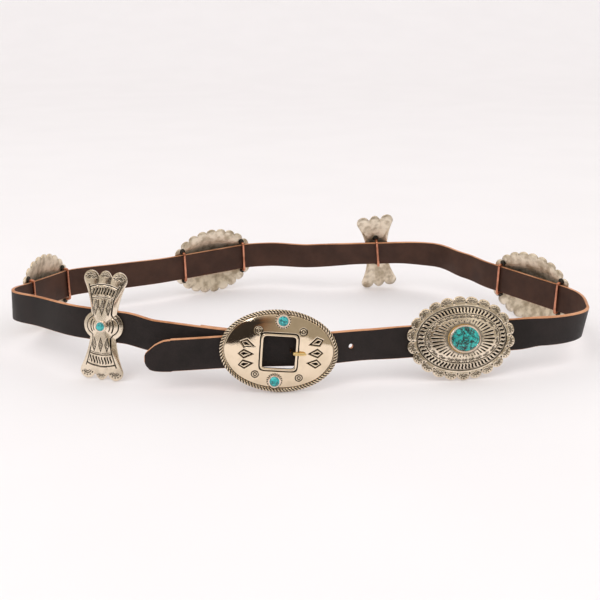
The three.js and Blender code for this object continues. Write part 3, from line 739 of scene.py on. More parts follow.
@dataclass(frozen=True)
class PaleFloor:
    """A plain pale sweep with a trace of mottling."""

    colour: str = "f8f5f5"

    def material(self) -> bpy.types.Material:
        """The floor's material.

        Returns:
            The material.
        """
        material, tree, shader = shaded("pale_floor")
        mottle = noise(tree, object_place(tree), 6.0, 4.0)
        tone = spread(tree, mottle.outputs["Fac"], 0.3, 0.7, 0.985, 1.0)
        colour = tint(self.colour)[:3]
        shade = add_node(tree, "ShaderNodeVectorMath", operation="SCALE", in0=colour, Scale=tone)
        feed(tree, shader, Base_Color=shade.outputs[0])
        shader.inputs["Roughness"].default_value = 0.7
        shader.inputs["Specular IOR Level"].default_value = 0.2
        return material


@dataclass(frozen=True)
class Finishes:
    """Every material of the belt, made once."""

    leathers: tuple[bpy.types.Material, ...]
    stamped: bpy.types.Material
    polished: bpy.types.Material
    matte: bpy.types.Material
    rim: bpy.types.Material
    gilt: bpy.types.Material
    copper: bpy.types.Material
    solder: bpy.types.Material
    brass: bpy.types.Material
    webbed: bpy.types.Material
    clear: bpy.types.Material

    @classmethod
    def made(cls) -> "Finishes":
        """Makes all the materials.

        Returns:
            The finishes.
        """
        polished = StampedSilver(name="polished_silver", bright="f4e1c6", dull="d2c0a2", clouding=0.35,
                                 rough_low=0.05, rough_high=0.12, bump=0.012)
        return cls(
            leathers=(
                Leather("outer_leather", "1e1816", "28201e").material(),
                Leather("inner_leather", "3b251b", "4a3024").material(),
                Leather("raw_leather_edge", "b47850", "e0a67e", 0.15, 0.16).material()),
            stamped=StampedSilver().material(),
            polished=polished.material(),
            matte=PlainMetal("matte_silver", "f8ecd8", "ae9c80", 0.42, 0.3, 700.0, 0.8).material(),
            rim=PlainMetal("bezel_silver", "fbe9da", "d9c2aa", 0.22).material(),
            gilt=PlainMetal("bezel_gilt", "e8c47c", "80592a", 0.24).material(),
            copper=PlainMetal("keeper_copper", "dc987a", "8d543c", 0.24).material(),
            solder=PlainMetal("dark_solder", "4a4640", "1d1a18", 0.5, 0.12, 700.0).material(),
            brass=PlainMetal("prong_brass", "f6dda2", "c8a05c", 0.14, 0.008).material(),
            webbed=Turquoise("webbed_turquoise", "42d2c6", "1c9c97", "080f10", 1100.0, 0.1).material(),
            clear=Turquoise("clear_turquoise", "52d2d0", "22a3a6", "12565a", 800.0, 0.06).material(),
        )


@dataclass(frozen=True)
class Station:
    """One row of the strap's route.

    x and y are shares of the loop's width and depth from its middle. Heading, slope,
    lean and roll are in degrees, height is a share of an oval's half height, and before
    and after are the shares of an ornament's half width that the strap lies flat behind.
    """

    at: str
    x: float
    y: float
    heading: float
    lean: float
    slope: float = 0.0
    roll: float = 0.0
    height: float | None = None
    before: float = 1.0
    after: float = 1.0

    @property
    def kind(self) -> Kind:
        """What the station carries."""
        word = self.at.split("_")[0]
        return Kind(word) if word in {kind.value for kind in Kind} else Kind.BARE

    @property
    def spot(self) -> Vector:
        """The station's place in plan, in millimetres."""
        return Vector((self.x * LOOP_WIDTH, self.y * LOOP_DEPTH))


ROUTE = (
    Station("tongue_tip", -0.228, -0.499, 0, 6),
    Station("buckle", -0.023, -0.489, 3.6, 6, roll=-4.5, before=0.4, after=0.4),
    Station("front_right_slack", 0.119, -0.4405, 11.2, 1),
    Station("concho_1", 0.269, -0.391, 11.1, 15, slope=0.3),
    Station("right_run", 0.4085, -0.3495, 7.8, -6, height=1.0),
    Station("right_bend", 0.492, -0.25, 81, -9.5, height=1.0),
    Station("concho_2", 0.442, 0.0815, 132, 2.5, slope=4.2, before=0.8),
    Station("back_right_slack", 0.343, 0.29, 133.1, 2.6),
    Station("back_right_turn", 0.284, 0.422, 159.8, 9.2),
    Station("butterfly_2", 0.172, 0.436, 186, 20, roll=-8),
    Station("back_middle", 0.031, 0.449, 178, 9.5, slope=-2, height=1.11),
    Station("back_left_crest", -0.058, 0.488, 182.3, 5.3),
    Station("concho_3", -0.17, 0.422, 207.9, 3.2, slope=-3, before=0.75),
    Station("back_left_run", -0.337, 0.269, 209, 0, height=0.92),
    Station("concho_4", -0.46, 0.0575, 256, -4, slope=5, before=0.72, after=0.72),
    Station("left_bend", -0.4855, -0.182, 289.6, 2, slope=4, height=1.225),
    Station("left_return", -0.432, -0.2655, 323.5, 4.8, slope=1, height=1.28),
    Station("butterfly_1", -0.3025, -0.3945, 344, 9, slope=-2.5, roll=1),
    Station("front_left_turn", -0.216, -0.4395, 349.8, 5, slope=-4, height=1.14),
)


@dataclass(frozen=True)
class Oval:
    """Outline of the scalloped concho: lobes of even length round an oval."""

    width: float = 87.5
    height: float = 65.0
    rise: float = 6.6
    lobes: int = 22
    lobe_depth: float = 2.3
    lobe_swell: float = 3.7
    cusp_depth: float = 1.8
    facets: int = 3

    @property
    def axes(self) -> tuple[float, float]:
        """Half width and half height inside the lobes."""
        return self.width / 2 - self.lobe_depth, self.height / 2 - self.lobe_depth

    def around(self, share: Array) -> tuple[Array, Array]:
        """Points and outward normals of the oval at shares of its length."""
        return even_oval(self.axes, share)

    def corners(self) -> Array:
        """The outline's corner points as the solid has them.

        Returns:
            The points, one row each.
        """
        count = self.lobes * self.facets
        index = np.arange(count)
        points, normals = self.around(index / count)
        swell = np.sin(np.pi * ((index / self.facets) % 1)) ** 0.6
        return points + normals * (self.lobe_depth * swell)[:, None]


@dataclass(frozen=True)
class Wing:
    """Outline of the butterfly: a round bulge between two flared ends of three lobes."""

    width: float = 35.5
    height: float = 84.0
    rise: float = 4.2
    waist_width: float = 21.4
    waist_height: float = 18.6
    bulge_width: float = 32.6
    corner: tuple[float, float, float] = (0.655, 0.853, 0.345)
    middle: tuple[float, float, float] = (0.0, 0.905, 0.24)
    flare: float = 0.06
    corner_turns: tuple[float, float] = (-25.0, 165.0)
    middle_turn: float = 28.0
    facets: int = 52

    def quarter(self) -> Array:
        """The outline from the bulge's right side to the middle of the top, finely sampled.

        Returns:
            Its points, one row each.
        """
        waist = Vector((self.waist_width / 2, self.waist_height / 2))
        reach = self.bulge_width / 2
        centre = (reach ** 2 - waist.length_squared) / (2 * (reach - waist.x))
        turn = math.atan2(waist.y, waist.x - centre)
        half_width, half_height = self.width / 2, self.height / 2
        bulge = arc((centre, 0.0), reach - centre, 0.0, turn)
        spot = (self.corner[0] * half_width, self.corner[1] * half_height)
        lobe = arc(spot, self.corner[2] * half_width, *map(math.radians, self.corner_turns))
        knee = np.array([waist.x + self.flare * half_width, (waist.y + lobe[0, 1]) / 2])
        t = np.linspace(0, 1, 60)[:, None]
        side = (1 - t) ** 2 * bulge[-1] + 2 * t * (1 - t) * knee + t ** 2 * lobe[0]
        crown = arc((0.0, self.middle[1] * half_height), self.middle[2] * half_width,
                    math.radians(self.middle_turn), math.pi / 2)
        return np.vstack([bulge, side[1:], lobe[1:], crown])

    def around(self, share: Array) -> Array:
        """Points of the whole outline at shares of its length.

        Args:
            share: Shares of the whole way round.

        Returns:
            The points, one row each.
        """
        quarter = self.quarter()
        half = np.vstack([quarter, quarter[-2::-1] * (-1, 1)])
        whole = np.vstack([half, half[-2::-1] * (1, -1)])
        length = lengths_along(whole)
        even = (np.asarray(share) % 1.0) * length[-1]
        return np.column_stack([np.interp(even, length, whole[:, k]) for k in range(2)])

    def corners(self) -> Array:
        """The outline's corner points as the solid has them."""
        return self.around(np.arange(self.facets) / self.facets)


@dataclass(frozen=True)
class BuckleOval:
    """Outline of the buckle: the oval that its rope border follows."""

    width: float = 88.4
    height: float = 62.6
    rise: float = 5.2
    rope: float = 3.4
    facets: int = 52

    @property
    def axes(self) -> tuple[float, float]:
        """Half width and half height of the rope's middle line."""
        return (self.width - self.rope) / 2, (self.height - self.rope) / 2

    def corners(self) -> Array:
        """The outline's corner points as the solid has them."""
        angle = np.arange(self.facets) * TAU / self.facets
        return np.column_stack([self.axes[0] * np.cos(angle), self.axes[1] * np.sin(angle)])


def arc(centre: Sequence[float], radius: float, start: float, stop: float) -> Array:
    """Forty points of an arc, one row each."""
    angle = np.linspace(start, stop, 40)
    return np.column_stack([centre[0] + radius * np.cos(angle), centre[1] + radius * np.sin(angle)])


OVAL = Oval()
WING = Wing()
BUCKLE = BuckleOval()


@dataclass
class Sample:
    """One cross section of the strap: its middle and its three directions."""

    spot: Vector
    heading: float
    lean: float
    length: float = 0.0
    point: Vector = field(default_factory=Vector)
    along: Vector = field(default_factory=Vector)
    up: Vector = field(default_factory=Vector)
    outward: Vector = field(default_factory=Vector)
    top: float = 0.5
    bottom: float = -0.5

    def frame(self) -> Matrix:
        """The section's frame, X along, Y up and Z outward."""
        return frame_at(self.point, (self.along, self.up, self.outward))


@dataclass
class Anchor:
    """A height that the strap holds at a length along it."""

    length: float
    height: float
    slope: float
    before: float
    after: float


def axes_at(heading: float, slope: float, lean: float) -> tuple[Vector, Vector, Vector]:
    """Along, up and outward directions of the strap.

    Args:
        heading: Direction of travel in plan, in radians.
        slope: Climb, in radians.
        lean: How far the top tilts into the loop, in radians.

    Returns:
        The three directions.
    """
    along = Vector((math.cos(heading), math.sin(heading), math.tan(slope))).normalized()
    flat = Vector((math.sin(heading), -math.cos(heading), 0.0))
    level = flat.cross(along)
    up = (level * math.cos(lean) - flat * math.sin(lean)).normalized()
    return along, up, along.cross(up)


@dataclass
class StrapRoute:
    """The strap's middle line and the frames of all that it carries, in millimetres."""

    tongue_length: float = 99.0
    tongue_drop: float = 3.4
    bar_offset: float = -12.8
    bar_diameter: float = 3.2
    turn_step: float = 2.5
    longest_step: float = 3.0
    fold_length: float = 46.0
    fold_steps: int = 14
    samples: list[Sample] = field(default_factory=list)
    anchors: list[Anchor] = field(default_factory=list)

    @property
    def bar_depth(self) -> float:
        """How far behind the buckle's base the bar lies."""
        return -(2 * GAP + 2 * STRAP_THICKNESS + GAP + self.bar_diameter / 2)

    @property
    def fold_radius(self) -> float:
        """Radius of the strap's middle round the bar."""
        return self.bar_diameter / 2 + GAP + STRAP_THICKNESS / 2

    def standing_height(self, station: Station) -> float:
        """Height of the strap's middle where an ornament stands on the floor.

        Args:
            station: The ornament's station.

        Returns:
            The height in millimetres.
        """
        outline = {Kind.OVAL: OVAL, Kind.BUTTERFLY: WING, Kind.BUCKLE: BUCKLE}[station.kind].corners()
        along, up, outward = axes_at(*map(math.radians, (station.heading, station.slope, station.lean)))
        roll = math.radians(station.roll)
        x = outline[:, 0] * math.cos(roll) - outline[:, 1] * math.sin(roll)
        y = outline[:, 0] * math.sin(roll) + outline[:, 1] * math.cos(roll)
        on_rope = station.kind is Kind.BUCKLE
        face = (outward.z - 1) * BUCKLE.rope / 2 if on_rope else min(0.0, PLATE_WALL * outward.z)
        return -(float(np.min(x * along.z + y * up.z)) + face + PLATE_OFFSET * outward.z)

    def height_of(self, station: Station) -> float | None:
        """The height that a station holds the strap at, if it holds one.

        Args:
            station: The station.

        Returns:
            The height of the strap's middle in millimetres, or None.
        """
        if station.at == "tongue_tip":
            return self.standing_height(ROUTE[1]) - self.tongue_drop
        if station.kind is not Kind.BARE:
            return self.standing_height(station)
        return None if station.height is None else station.height * OVAL_HALF_HEIGHT

    def frame_of(self, station: Station) -> Matrix:
        """The frame of the ornament at a station, X along, Y up and Z outward.

        Args:
            station: The station.

        Returns:
            The frame in millimetres.
        """
        along, up, outward = axes_at(*map(math.radians, (station.heading, station.slope, station.lean)))
        middle = Vector((*station.spot, self.standing_height(station))) + FOOTPRINT_SHIFT
        return (frame_at(middle + outward * PLATE_OFFSET, (along, up, outward))
                @ Matrix.Rotation(math.radians(station.roll), 4, "Z"))

    def seat(self, station: Station) -> tuple[float, float]:
        """Lengths before and after a station that the strap lies flat along.

        Args:
            station: The station.

        Returns:
            The two lengths.
        """
        half = {Kind.OVAL: OVAL.width / 2, Kind.BUTTERFLY: WING.bulge_width / 2,
                Kind.BUCKLE: BUCKLE.width / 2}.get(station.kind, 0.0)
        return station.before * half, station.after * half

    def leg(self, a: End, b: End) -> list[Sample]:
        """Samples of the plan between two seats.

        Args:
            a: Spot, heading, lean and seat of the leg's start.
            b: The same of its end.

        Returns:
            The samples, both ends included.
        """
        ways = [Vector((math.cos(end[1]), math.sin(end[1]))) for end in (a, b)]
        start, stop = a[0] + ways[0] * a[3], b[0] - ways[1] * b[3]
        span = (stop - start).length
        turn = abs(math.degrees(math.atan2(math.sin(b[1] - a[1]), math.cos(b[1] - a[1]))))
        steps = math.ceil(max(turn / self.turn_step, span / self.longest_step, 2))
        found = []
        for i in range(steps + 1):
            t = i / steps
            ends = [(start[k], stop[k], ways[0][k] * span, ways[1][k] * span) for k in (0, 1)]
            rate = Vector([hermite_rate(*end, t) for end in ends])
            ease = t * t * (3 - 2 * t)
            found.append(Sample(Vector([hermite(*end, t) for end in ends]), math.atan2(rate.y, rate.x),
                                a[2] + (b[2] - a[2]) * ease))
        return found

    def add(self, sample: Sample) -> None:
        """Adds a sample at the strap's present end.

        Args:
            sample: The sample, dropped if it repeats the last one.
        """
        if self.samples:
            step = (sample.spot - self.samples[-1].spot).length
            if step < 1e-4:
                return
            sample.length = self.samples[-1].length + step
        self.samples.append(sample)

    def ends(self) -> list[tuple[Vector, float, float, float, float, float | None, float]]:
        """Spot, heading, lean, before, after, height and slope of each station and of the bar.

        Returns:
            One row for each.
        """
        rows = []
        for station in ROUTE:
            spot = station.spot
            if station.at == "tongue_tip":
                spot.x = ROUTE[1].spot.x - self.tongue_length
            before, after = self.seat(station)
            rows.append((spot, math.radians(station.heading), math.radians(station.lean), before, after,
                         self.height_of(station), math.radians(station.slope)))
        buckle = ROUTE[1]
        bar = (self.frame_of(buckle) @ Vector((self.bar_offset, 0, self.bar_depth + self.fold_radius)))
        bar -= FOOTPRINT_SHIFT
        rows.append((bar.to_2d(), math.radians(buckle.heading), math.radians(buckle.lean), 0.0, 0.0, bar.z,
                     math.radians(buckle.roll)))
        return rows

    def build(self) -> None:
        """Works out every sample from the tongue's end to the bar."""
        rows = self.ends()
        for i, (spot, heading, lean, before, after, height, slope) in enumerate(rows):
            if i:
                last = rows[i - 1]
                leg = self.leg((*last[:3], last[4]), (spot, heading, lean, before))
                for step in leg:
                    self.add(step)
            way = Vector((math.cos(heading), math.sin(heading)))
            seated = before + after > 0
            count = max(2, math.ceil((before + after) / self.longest_step))
            stops = np.linspace(-before, after, count) if seated else [0.0]
            for offset in stops:
                self.add(Sample(spot + way * float(offset), heading, lean))
            if height is not None:
                here = self.samples[-1].length - (after if seated else 0.0)
                self.anchors.append(Anchor(here, height, slope, before, after))
        total = self.samples[-1].length
        for sample in self.samples:
            low, high = max(sample.length - GAP / 2, 0.0), min(sample.length + GAP / 2, total)
            climb = self.height_along(high) - self.height_along(low)
            axes = axes_at(sample.heading, math.atan2(climb, high - low), sample.lean)
            sample.along, sample.up, sample.outward = axes
            sample.point = Vector((*sample.spot, self.height_along(sample.length))) + FOOTPRINT_SHIFT

    def height_along(self, length: float) -> float:
        """Height of the middle line: straight behind each ornament, smooth between them.

        Args:
            length: Length along the strap.

        Returns:
            The height in millimetres.
        """
        for anchor in self.anchors:
            if anchor.length - anchor.before - GAP <= length <= anchor.length + anchor.after + GAP:
                return anchor.height + math.tan(anchor.slope) * (length - anchor.length)
        beyond = [i for i, anchor in enumerate(self.anchors) if anchor.length > length]
        after = max(beyond[0] if beyond else len(self.anchors) - 1, 1)
        a, b = self.anchors[after - 1], self.anchors[after]
        leave_at = a.length + a.after
        span = b.length - b.before - leave_at
        leave, arrive = math.tan(a.slope), math.tan(b.slope)
        return hermite(a.height + leave * a.after, b.height - arrive * b.before, leave * span, arrive * span,
                       (length - leave_at) / span)

    def sample_at(self, length: float) -> Sample:
        """The sample nearest to a length along the strap."""
        return min(self.samples, key=lambda sample: abs(sample.length - length))

    def fold(self) -> list[Sample]:
        """The strap's fixed end: half a turn round the bar, then back along its inner side.

        Returns:
            Its cross sections in order.
        """
        last = self.samples[-1]
        axle = last.point - last.outward * self.fold_radius
        found = []
        for i in range(1, self.fold_steps + 1):
            turn = math.pi * i / self.fold_steps
            outward = last.outward * math.cos(turn) + last.along * math.sin(turn)
            along = last.along * math.cos(turn) - last.outward * math.sin(turn)
            found.append(Sample(last.spot, 0, 0, point=axle + outward * self.fold_radius, along=along,
                                up=last.up, outward=outward))
        close = STRAP_THICKNESS + GAP
        for share in np.linspace(0.1, 1.0, 10):
            beside = self.sample_at(last.length - self.fold_length * float(share))
            ease = float(ramp(np.array(share), 0.0, 0.36))
            inset = 2 * self.fold_radius + (close - 2 * self.fold_radius) * ease
            found.append(Sample(last.spot, 0, 0, point=beside.point - beside.outward * inset,
                                along=-beside.along, up=beside.up, outward=-beside.outward))
        return found


@dataclass
class Strap:
    """The leather strap, with its rounded tongue, punched holes and folded end."""

    route: StrapRoute
    finishes: Finishes
    corner: float = 0.55
    corner_facets: int = 3
    face_facets: int = 7
    tip_length: float = 16.0
    tip: tuple[tuple[float, float, float], ...] = (
        (0.0, -0.02, -0.16), (0.02, 0.03, -0.22), (0.06, 0.09, -0.29), (0.12, 0.13, -0.35),
        (0.23, 0.2, -0.43), (0.35, 0.27, -0.465), (0.5, 0.35, -0.485), (0.7, 0.42, -0.497),
        (0.9, 0.475, -0.5), (1.1, 0.497, -0.5), (1.2, 0.5, -0.5))
    hole_diameter: float = 3.6
    filled_hole: float = 2.0
    bleed: float = 0.45
    skin: float = 0.1
    hole_offset: float = PRONG_HOLE
    hole_pitch: float = 22.2
    holes: int = 3

    def section(self) -> Array:
        """The cross section as rows of height share, thickness share and side.

        Returns:
            The rows, all the way round.
        """
        half_width, half_depth, radius = STRAP_WIDTH / 2, STRAP_THICKNESS / 2 - self.skin, self.corner
        rows = []
        quarters = ((1, 1), (-1, 1), (-1, -1), (1, -1))
        for q, (up, out) in enumerate(quarters):
            for i in range(self.corner_facets + 1):
                angle = math.pi / 2 * (q + i / self.corner_facets)
                rows.append((up * (half_width - radius) + radius * math.cos(angle),
                             out * (half_depth - radius) + radius * math.sin(angle)))
            if q in (0, 2):
                inner = np.linspace(1, -1, self.face_facets + 1)[1:-1] * (half_width - radius)
                inner = np.insert(inner, 0, half_width - radius - self.bleed)
                for height in inner if q == 0 else -inner:
                    rows.append((height, out * half_depth))
        table = np.array(rows)
        flat = np.abs(table[:, 1]) > half_depth - 0.35 * radius
        worn = (table[:, 0] > half_width - radius - 0.01) & (table[:, 1] > 0)
        side = np.where(flat & ~worn, np.sign(table[:, 1]), 0.0)
        return np.column_stack([table[:, 0] / STRAP_WIDTH, table[:, 1], side])

    def sections(self) -> list[Sample]:
        """Every cross section from the tongue's end to the end of the fold.

        Returns:
            The cross sections in order.
        """
        first = self.route.samples[0]
        tip = []
        for along, top, bottom in self.tip:
            point = first.point + first.along * along * self.tip_length
            tip.append(Sample(first.spot, 0, 0, point=point, along=first.along, up=first.up,
                              outward=first.outward, top=top, bottom=bottom))
        start = self.tip[-1][0] * self.tip_length + 1.0
        return [*tip, *[s for s in self.route.samples if s.length > start], *self.route.fold()]

    def build(self) -> bpy.types.Object:
        """Builds the strap and punches its holes.

        Returns:
            The strap.
        """
        table = self.section()
        sections = self.sections()
        points = np.array([s.point for s in sections])
        up = np.array([s.up for s in sections])
        outward = np.array([s.outward for s in sections])
        tops = np.array([s.top for s in sections])
        bottoms = np.array([s.bottom for s in sections])
        around = len(table)

        def place(ring: Array, turn: Array) -> tuple[Array, Array]:
            """A point of the strap's skin.

            Args:
                ring: Ring of each vertex.
                turn: Its turn round the ring, in radians.

            Returns:
                The points in millimetres and their marks.
            """
            row = table[np.rint(turn / TAU * around).astype(int) % around]
            height = bottoms[ring] + (row[:, 0] + 0.5) * (tops[ring] - bottoms[ring])
            at = points[ring] + up[ring] * (height * STRAP_WIDTH)[:, None] + outward[ring] * row[:, 1, None]
            ends = (ring == 0) | (ring == len(sections) - 1)
            return at, np.where(ends, 0.0, row[:, 2])

        mesh = swept("strap_leather", len(sections), around, place, mark="side")
        side = np.empty(len(mesh.vertices), dtype=np.float32)
        mesh.attributes["side"].data.foreach_get("value", side)
        for face in mesh.polygons:
            mean = float(np.mean(side[list(face.vertices)]))
            kind = Side.EDGE if abs(mean) < 0.6 else Side.OUTER if mean > 0 else Side.INNER
            face.material_index = kind.value
        piece = show(mesh, Matrix(), self.finishes.leathers, ["strap"])
        self.punch(piece)
        return piece

    def punch(self, piece: bpy.types.Object) -> None:
        """Punches the tongue's holes through the strap.

        Args:
            piece: The strap.
        """
        cutters = bmesh.new()
        first = self.route.anchors[1].length + self.hole_offset
        filled = self.route.frame_of(ROUTE[1]) @ Matrix.Translation((self.hole_offset, 0, -PLATE_OFFSET))
        free = [self.route.sample_at(first + i * self.hole_pitch).frame() for i in range(1, self.holes)]
        for i, placed in enumerate([filled, *free]):
            radius = (self.hole_diameter if i else self.filled_hole) / 2 * MM
            bmesh.ops.create_cone(cutters, cap_ends=True, segments=28, radius1=radius, radius2=radius,
                                  depth=1.9 * STRAP_THICKNESS * MM, matrix=in_metres(placed))
        mesh = mesh_of("hole_punch", cutters, smooth=False)
        for finish in self.finishes.leathers:
            mesh.materials.append(finish)
        for face in mesh.polygons:
            face.material_index = Side.EDGE.value
        punch = linked("hole_punch", mesh)
        cut = piece.modifiers.new("holes", "BOOLEAN")
        cut.object = punch
        cut.operation = "DIFFERENCE"
        cut.solver = "EXACT"
        bpy.context.view_layer.update()
        graph = bpy.context.evaluated_depsgraph_get()
        fresh = bpy.data.meshes.new_from_object(piece.evaluated_get(graph), depsgraph=graph)
        piece.modifiers.clear()
        old = piece.data
        piece.data = fresh
        fresh.name = "strap_leather"
        bpy.data.meshes.remove(old)
        bpy.data.objects.remove(punch)
        bpy.data.meshes.remove(mesh)


def rayed_arc(out: Array, across: Array, radius: float, rays: int, spread_to: float) -> Array:
    """The mark of an arc stamp: two curved lines with a row of rays outside them.

    Args:
        out: Distance outward from the stamp's centre, in millimetres.
        across: Distance sideways.
        radius: Radius of the outer line.
        rays: Rays in a quarter turn.
        spread_to: Half the stamp's turn, in radians.

    Returns:
        The depth of the mark from 0 to 1.
    """
    reach = np.hypot(out, across)
    angle = np.arctan2(across, out)
    lines = np.maximum(line(reach, radius, 0.06 * radius + 0.1),
                       line(reach, 0.6 * radius, 0.05 * radius + 0.1))
    beat = np.cos(angle * 4 * rays)
    spokes = ramp(beat, -0.05, 0.35) * line(reach, 1.48 * radius, 0.12 * radius)
    return np.maximum(lines, spokes) * ramp(-np.abs(angle), -spread_to - 0.05, -spread_to + 0.05)


def dome_curve(at: Array) -> Array:
    """A dome's rise at shares of its half size, rounded between the rows of its table.

    Args:
        at: Shares of the half size.

    Returns:
        The rise as a share of the whole.
    """
    fine = np.linspace(-0.2, 1.2, 1401)
    level = np.interp(np.abs(fine), (0.0, 0.32, 0.55, 0.86, 1.0), (1.0, 0.97, 0.68, 0.16, 0.0))
    window = np.hanning(101)
    soft = np.convolve(np.pad(level, len(window) // 2, mode="edge"), window / window.sum(), "valid")
    return np.interp(at, fine, soft)


def stamp_axes(point: Array, centre: Array, normal: Array) -> tuple[Array, Array]:
    """Distances outward and sideways of points from the centre of a stamp.

    Args:
        point: The points.
        centre: The stamp's centre for each of them.
        normal: Its outward direction.

    Returns:
        The two distances.
    """
    local = point - centre
    return np.sum(local * normal, axis=1), local[:, 0] * normal[:, 1] - local[:, 1] * normal[:, 0]


def plate_rows(front: Array, back_rows: int, drops: Sequence[float]) -> tuple[Array, Array, Array]:
    """Rows of a plate's half section, over the front and the rim to the back's middle.

    Args:
        front: Shares of the half size at the front's rows.
        back_rows: Rows of the back.
        drops: How far the front's last row and the rim's two rows lie below the front.

    Returns:
        Each row's share, its side (1 for the front, 0.5 for the rim, 0 for the back) and its drop.
    """
    shares = np.concatenate([front, [1.0, 1.0], np.linspace(1.0, 0.0, back_rows)])
    side = np.concatenate([np.ones(len(front)), [0.5, 0.5], np.zeros(back_rows)])
    drop = np.zeros(len(shares))
    drop[len(front) - 1:len(front) + 2] = drops
    return shares, side, drop


@dataclass(frozen=True)
class Cup:
    """A bezel cup and its cabochon, oval or round, on the plate of an ornament."""

    name: str
    stone_name: str
    node: str
    width: float
    height: float
    floor: float
    rise: float
    wall: float
    skirt: float
    lip: float
    teeth: int
    spot: tuple[float, float] = (0.0, 0.0)
    flange: float = 0.9
    foot: float | None = None
    grip: float = 0.0
    lip_share: float = 0.62
    ground: Callable[[Array], Array] | None = None

    @property
    def base(self) -> float:
        """Height of the skirt's foot."""
        return self.floor - self.skirt if self.foot is None else self.foot

    @property
    def squash(self) -> float:
        """The cup's height as a share of its width."""
        return (self.height + 2 * GAP + 2 * self.wall) / (self.width + 2 * GAP + 2 * self.wall)

    def shell(self) -> bpy.types.Mesh:
        """The cup: a serrated skirt on the plate, an upright wall and a rounded lip.

        Returns:
            The cup's mesh.
        """
        inner = self.width / 2 + GAP / 2
        outer = self.width / 2 + GAP + self.wall
        thin = inner + self.lip_share * self.wall
        base, top = self.base, self.floor + self.lip
        profile = np.array([
            (0.0, base), (outer * 0.6, base), (outer + self.flange, base), (outer + self.flange, base + 0.35),
            (outer + 0.35 * self.flange, base + 0.75), (thin + 0.12, base + 1.0), (thin + 0.05, base + 1.3),
            (thin, (base + top) / 2), (thin, top - 0.5), (thin - 0.15, top - 0.12), ((thin + inner) / 2, top),
            (inner + 0.08 - self.grip, top - 0.02), (inner - self.grip, top - 0.25), (inner, top - 0.6),
            (inner, self.floor + 0.1), (inner * 0.5, self.floor), (0.0, self.floor)])

        def place(row: Array, turn: Array) -> tuple[Array, Array]:
            """A point of the cup.

            Args:
                row: Row of each vertex in the half section.
                turn: Its turn round the axis, in radians.

            Returns:
                The points in millimetres and their marks.
            """
            radius, height = profile[row].T
            toothed = ((row >= 2) & (row <= 4)).astype(float) + 0.3 * ((row >= 5) & (row <= 7))
            tooth = 0.5 + 0.5 * np.cos(turn * self.teeth)
            radius = radius - toothed * (1 - tooth) * 0.55 * self.flange
            x = radius * np.cos(turn) + self.spot[0]
            y = radius * self.squash * np.sin(turn) + self.spot[1]
            if self.ground is not None:
                lifted = self.ground(np.column_stack([x, y])) + height - base
                height = np.where((row >= 2) & (row <= 5), np.maximum(lifted, height), height)
            dark = np.clip(toothed, 0, 1) * (1 - tooth)
            return np.column_stack([x, y, height]), dark

        return turned(self.name, len(profile), self.teeth * 8, False, place)

    def stone(self) -> bpy.types.Mesh:
        """The cabochon: a straight girdle in the cup and a smooth dome.

        Returns:
            The stone's mesh.
        """
        girdle = self.floor + self.lip - 0.35
        crown = self.floor + self.lip + self.rise / 2 - 0.12
        rows = 22
        bend = np.linspace(0, math.pi / 2, rows - 3)
        half = self.width / 2
        dome = np.column_stack([half * np.cos(bend) ** 0.9, girdle + (crown - girdle) * np.sin(bend)])
        low = self.floor + GAP
        foot = np.array([(0.0, low), (half * 0.94, low), (half, low + 0.3)])
        profile = np.vstack([foot, dome])
        profile[-1, 0] = 0.0

        def place(row: Array, turn: Array) -> tuple[Array, Array]:
            """A point of the stone.

            Args:
                row: Row of each vertex in the half section.
                turn: Its turn round the axis, in radians.

            Returns:
                The points in millimetres and their marks.
            """
            radius, height = profile[row].T
            x, y = radius * np.cos(turn), radius * self.height / self.width * np.sin(turn)
            return np.column_stack([x + self.spot[0], y + self.spot[1], height]), np.zeros(len(row))

        return turned(self.stone_name, len(profile), 96, False, place)

    def build(self, placed: Matrix, metals: Sequence[bpy.types.Material], stone: bpy.types.Material,
              slot: str) -> None:
        """Builds the cup and its stone on an ornament.

        Args:
            placed: The ornament's frame.
            metals: Finishes of the cup's wall and of its serrated skirt.
            stone: Finish of the stone.
            slot: The record's slot of the ornament's metal. Not used.
        """
        shell = self.shell()
        half = self.width / 2 + GAP + self.lip_share * self.wall
        for face in shell.polygons:
            x, y = face.center.x / MM - self.spot[0], face.center.y / MM - self.spot[1]
            low = face.center.z < (self.base + 1.15) * MM
            face.material_index = 1 if low or math.hypot(x, y / self.squash) > half + 0.1 else 0
        show(shell, placed, metals)
        show(self.stone(), placed, [stone], [self.node])


